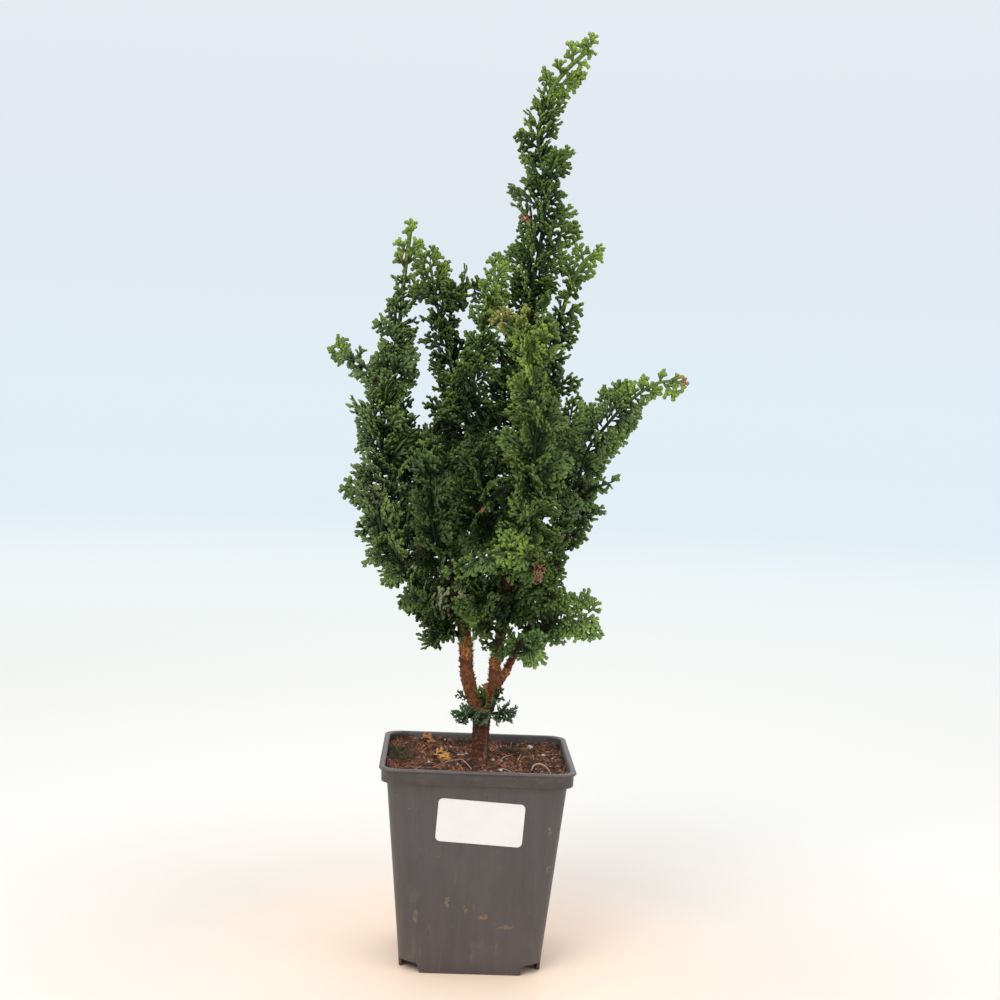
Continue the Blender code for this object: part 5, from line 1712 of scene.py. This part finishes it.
def leaf_finishes():
    """One finish for each kind of leaf: its name, its colour for old leaves and painted shade, its grown
    and fresh colours, and share of fresh tips, which carry painted highlight too.
    """
    deep = tone("leaf_deep")
    green = tone("leaf_green")
    fresh = tone("leaf_fresh")
    soft = tone("leaf_fresh", 0.75)
    dead = tone("leaf_withered")
    rows = {
        "green": ("leaf_green", deep, green, soft, 0.50),
        "tipped": ("leaf_tipped", deep, tone("leaf_green", 1.05), fresh, 0.45),
        "cool": ("leaf_cool", deep, (0.120, 0.180, 0.060), fresh, 0.50),
        "shaded": ("leaf_shaded", deep, (0.108, 0.172, 0.086), (0.205, 0.280, 0.130), 0.35),
        # The deep finish is a darker copy of the green, painted shade for shoots inside and under the crown
        "deep": ("leaf_deep_green", tone("leaf_deep", 0.8), tone("leaf_green", 0.66), soft, 0.33),
        "fresh": ("leaf_fresh_green", deep, (0.116, 0.200, 0.058), (0.245, 0.360, 0.085), 0.60),
        "golden": ("leaf_golden", deep, green, (0.275, 0.370, 0.062), 0.45),
        "withered": ("leaf_withered", tone("leaf_withered", 0.35), dead, (0.52, 0.33, 0.20), 0.5),
    }
    return {kind: leaf_finish(*row) for kind, row in rows.items()}


def reach_at(share, start, reaches):
    """Reach of the sprays at a share of a route."""
    if share < start:
        return 0.0
    place = (share - start) / (1 - start)
    low, middle, high = reaches
    if place < 0.5:
        return low + (middle - low) * place * 2
    return middle + (high - middle) * (place * 2 - 1) ** 0.95


def route_object(name, branches):
    """A curve through the routes of a shoot, with the reach of its sprays as radius."""
    data = bpy.data.curves.new(name, "CURVE")
    data.dimensions = "3D"
    for start, reaches, corners in branches:
        points = smooth_route([metres(*corner) for corner in corners])
        spline = data.splines.new("POLY")
        spline.points.add(len(points) - 1)
        for spot, point, share in zip(spline.points, points, shares_of(points)):
            spot.co = (*point, 1)
            spot.radius = reach_at(share, start, metres(*reaches))
    return add_object(name, data)


def mark_places(mesh):
    """Keeps on every point how near it is to the places where leaves differ."""
    spots = np.empty(len(mesh.vertices) * 3, np.float32)
    mesh.vertices.foreach_get("co", spots)
    spots = spots.reshape(-1, 3)
    for name, places in LEAF_PLACES.items():
        share = np.zeros(len(spots), np.float32)
        for *middle, radius in (metres(*row) for row in places):
            away = np.linalg.norm((spots - np.array(middle, np.float32)) * (1, 0.5, 1), axis=1) / radius
            share = np.maximum(share, np.clip(1.5 - 1.5 * away, 0, 1))
        mesh.attributes.new(name, "FLOAT", "POINT").data.foreach_set("value", share)


def grow_shoot(name, branches, style, tree, growth, nodes=()):
    """Makes the leaves and the green stem of one shoot, with its side shoots."""
    route = route_object(name + "_route", branches)
    values = {
        "Spacing": sizes().spray_spacing, "Spray share": sizes().spray_share,
        "Foot lean": sizes().foot_lean, "Tip lean": sizes().tip_lean, **STYLES[style], **growth,
    }
    values["Seed"] += sizes().seed
    made = run_modifier(route, tree, values, name)
    remove(route)
    mark_places(made.data)
    dress(made, growth["Finish"], nodes)


def make_shoots():
    """Every leafy shoot, the withered spray, and short dark sprays that fill the crown round its stems."""
    group = spray_group()
    tree = shoot_tree()
    finishes = leaf_finishes()
    for table in (SHOOTS, WITHERED):
        for number, (name, (kind, style, *route)) in enumerate(table.items()):
            branches = [route, *SIDE_SHOOTS.get(name, [])]
            growth = {"Seed": SHOOT_SEED_STEP * number, "Sprays": group, "Finish": finishes[kind]}
            grow_shoot(name + "_leaves", branches, style, tree, growth, [name])
    # The inner sprays take the deep finish, painted shade inside the crown
    growth = {"Seed": INNER_SEED, "Sprays": group, "Finish": finishes["deep"]}
    grow_shoot("inner_sprays", INNER_SPRAYS, "inner", tree, growth)
    drop_group(group)


# Stage


def make_world():
    scene = bpy.context.scene
    scene.view_settings.view_transform = "Standard"
    scene.view_settings.look = "None"
    scene.world = bpy.data.worlds.new("studio")
    scene.world.use_nodes = True
    graph = Graph(scene.world.node_tree)
    height = graph.axes(graph.place("Generated"))[2]
    sky = graph.add("ShaderNodeValToRGB", {"stops": SKY}, {"Fac": height * 0.5 + 0.5})
    back = graph.add("ShaderNodeBackground", {}, {"Color": sky, "Strength": 1.0})
    graph.add("ShaderNodeOutputWorld", {}, {"Surface": back})


def make_floor():
    """A plain pale floor that melts into the backdrop far away."""
    points = [Vector((0, 0, 0))]
    for radius in FLOOR_RINGS:
        points.extend(ring(points[0], ALONG_X, ALONG_Y, radius, FLOOR_SIDES))
    faces = [(0, 1 + i, 1 + (i + 1) % FLOOR_SIDES) for i in range(FLOOR_SIDES)]
    for row in range(len(FLOOR_RINGS) - 1):
        low = 1 + row * FLOOR_SIDES
        faces.extend(band(low + FLOOR_SIDES, low, FLOOR_SIDES))
    floor = add_object("floor", mesh_from("floor", points, faces))
    made, graph = new_material("floor")
    place = graph.place()
    radius = graph.add("ShaderNodeVectorMath", {"operation": "LENGTH"}, {0: place}, "Value")
    # Warm tone near the pot, partly the floor's own colour and partly painted light over the pot's contact
    # shadow
    colour = graph.paint(
        radius.over(0.03, 0.17), WARM_FLOOR, tone("floor"),
        (graph.noise(place, 14.0).over(0.35, 0.7) * 0.03, FLOOR_STAIN),
        (radius.over(0.12, 0.34), COOL_FLOOR),
    )
    values = {"Base Color": colour, "Roughness": 0.6, "Specular IOR Level": 0.2}
    shader = graph.add("ShaderNodeBsdfPrincipled", {}, values)
    pale = graph.mix(radius.over(0.8, 3.2), NEAR_HAZE, FAR_HAZE)
    glow = graph.add("ShaderNodeEmission", {}, {"Color": pale, "Strength": 1.0})
    mixed = graph.add("ShaderNodeMixShader", {}, {0: radius.over(0.35, 1.5), 1: shader, 2: glow})
    graph.add("ShaderNodeOutputMaterial", {}, {"Surface": mixed})
    floor.data.materials.append(made)


def make_lamps():
    for name, (spot, size, power, colour) in LAMPS.items():
        lamp = bpy.data.lights.new(name, "AREA")
        lamp.shape = "DISK"
        lamp.size = size
        lamp.energy = power
        lamp.color = colour
        made = add_object(name, lamp)
        made.location = spot
        made.rotation_euler = (LAMP_AIM - Vector(spot)).to_track_quat("-Z", "Y").to_euler()


def make_camera():
    forward = Vector((math.sin(YAW) * math.cos(PITCH), math.cos(YAW) * math.cos(PITCH), math.sin(PITCH)))
    level = Vector((math.cos(YAW), -math.sin(YAW), 0))
    upright = level.cross(forward)
    right = level * math.cos(ROLL) + upright * math.sin(ROLL)
    up = upright * math.cos(ROLL) - level * math.sin(ROLL)
    camera = bpy.data.cameras.new("camera")
    camera.sensor_width = 36
    camera.lens = FOCAL_PIXELS / FRAME_PIXELS * camera.sensor_width
    camera.clip_start = 0.01
    camera.clip_end = 50
    made = add_object("camera", camera)
    made.matrix_world = Matrix.Translation(EYE) @ Matrix((right, up, -forward)).transposed().to_4x4()
    bpy.context.scene.camera = made


class BONSAI_OT_pot(bpy.types.Operator):
    """Makes the nursery pot and its bare label"""

    bl_idname = "bonsai.pot"
    bl_label = "Pot and label"

    def execute(self, context):
        make_pot()
        make_label()
        return {"FINISHED"}


class BONSAI_OT_soil(bpy.types.Operator):
    """Makes the soil and the small things that lie on it"""

    bl_idname = "bonsai.soil"
    bl_label = "Soil"

    def execute(self, context):
        make_litter(make_soil())
        make_roots()
        make_pale_stones()
        make_dead_sprigs()
        return {"FINISHED"}


class BONSAI_OT_wood(bpy.types.Operator):
    """Makes the trunk and stems with their bark"""

    bl_idname = "bonsai.wood"
    bl_label = "Wood"

    def execute(self, context):
        make_wood()
        return {"FINISHED"}


class BONSAI_OT_leaves(bpy.types.Operator):
    """Makes every leafy shoot, the withered spray and the inner sprays"""

    bl_idname = "bonsai.leaves"
    bl_label = "Leafy shoots"

    def execute(self, context):
        make_shoots()
        return {"FINISHED"}


class BONSAI_OT_stage(bpy.types.Operator):
    """Makes the sky, the floor, the lights and the camera"""

    bl_idname = "bonsai.stage"
    bl_label = "Stage"

    def execute(self, context):
        make_world()
        make_floor()
        make_lamps()
        make_camera()
        return {"FINISHED"}


OPERATORS = (BONSAI_OT_pot, BONSAI_OT_soil, BONSAI_OT_wood, BONSAI_OT_leaves, BONSAI_OT_stage)


class BONSAI_PT_panel(bpy.types.Panel):
    """Lists the sizes, the colours and the steps of the bonsai"""

    bl_idname = "BONSAI_PT_panel"
    bl_label = "Bonsai"
    bl_space_type = "VIEW_3D"
    bl_region_type = "UI"
    bl_category = "Bonsai"

    def draw(self, context):
        for group in (context.scene.bonsai_sizes, context.scene.bonsai_colours):
            box = self.layout.box()
            for name in group.__annotations__:
                box.prop(group, name)
        for operator in OPERATORS:
            self.layout.operator(operator.bl_idname)


CLASSES = (BonsaiSizes, BonsaiColours, *OPERATORS, BONSAI_PT_panel)


def register():
    for kind in CLASSES:
        bpy.utils.register_class(kind)
    bpy.types.Scene.bonsai_sizes = PointerProperty(type=BonsaiSizes)
    bpy.types.Scene.bonsai_colours = PointerProperty(type=BonsaiColours)


def unregister():
    del bpy.types.Scene.bonsai_colours
    del bpy.types.Scene.bonsai_sizes
    for kind in reversed(CLASSES):
        bpy.utils.unregister_class(kind)


def main():
    register()
    bpy.ops.bonsai.pot()
    bpy.ops.bonsai.soil()
    bpy.ops.bonsai.wood()
    bpy.ops.bonsai.leaves()
    bpy.ops.bonsai.stage()


if __name__ == "__main__":
    main()
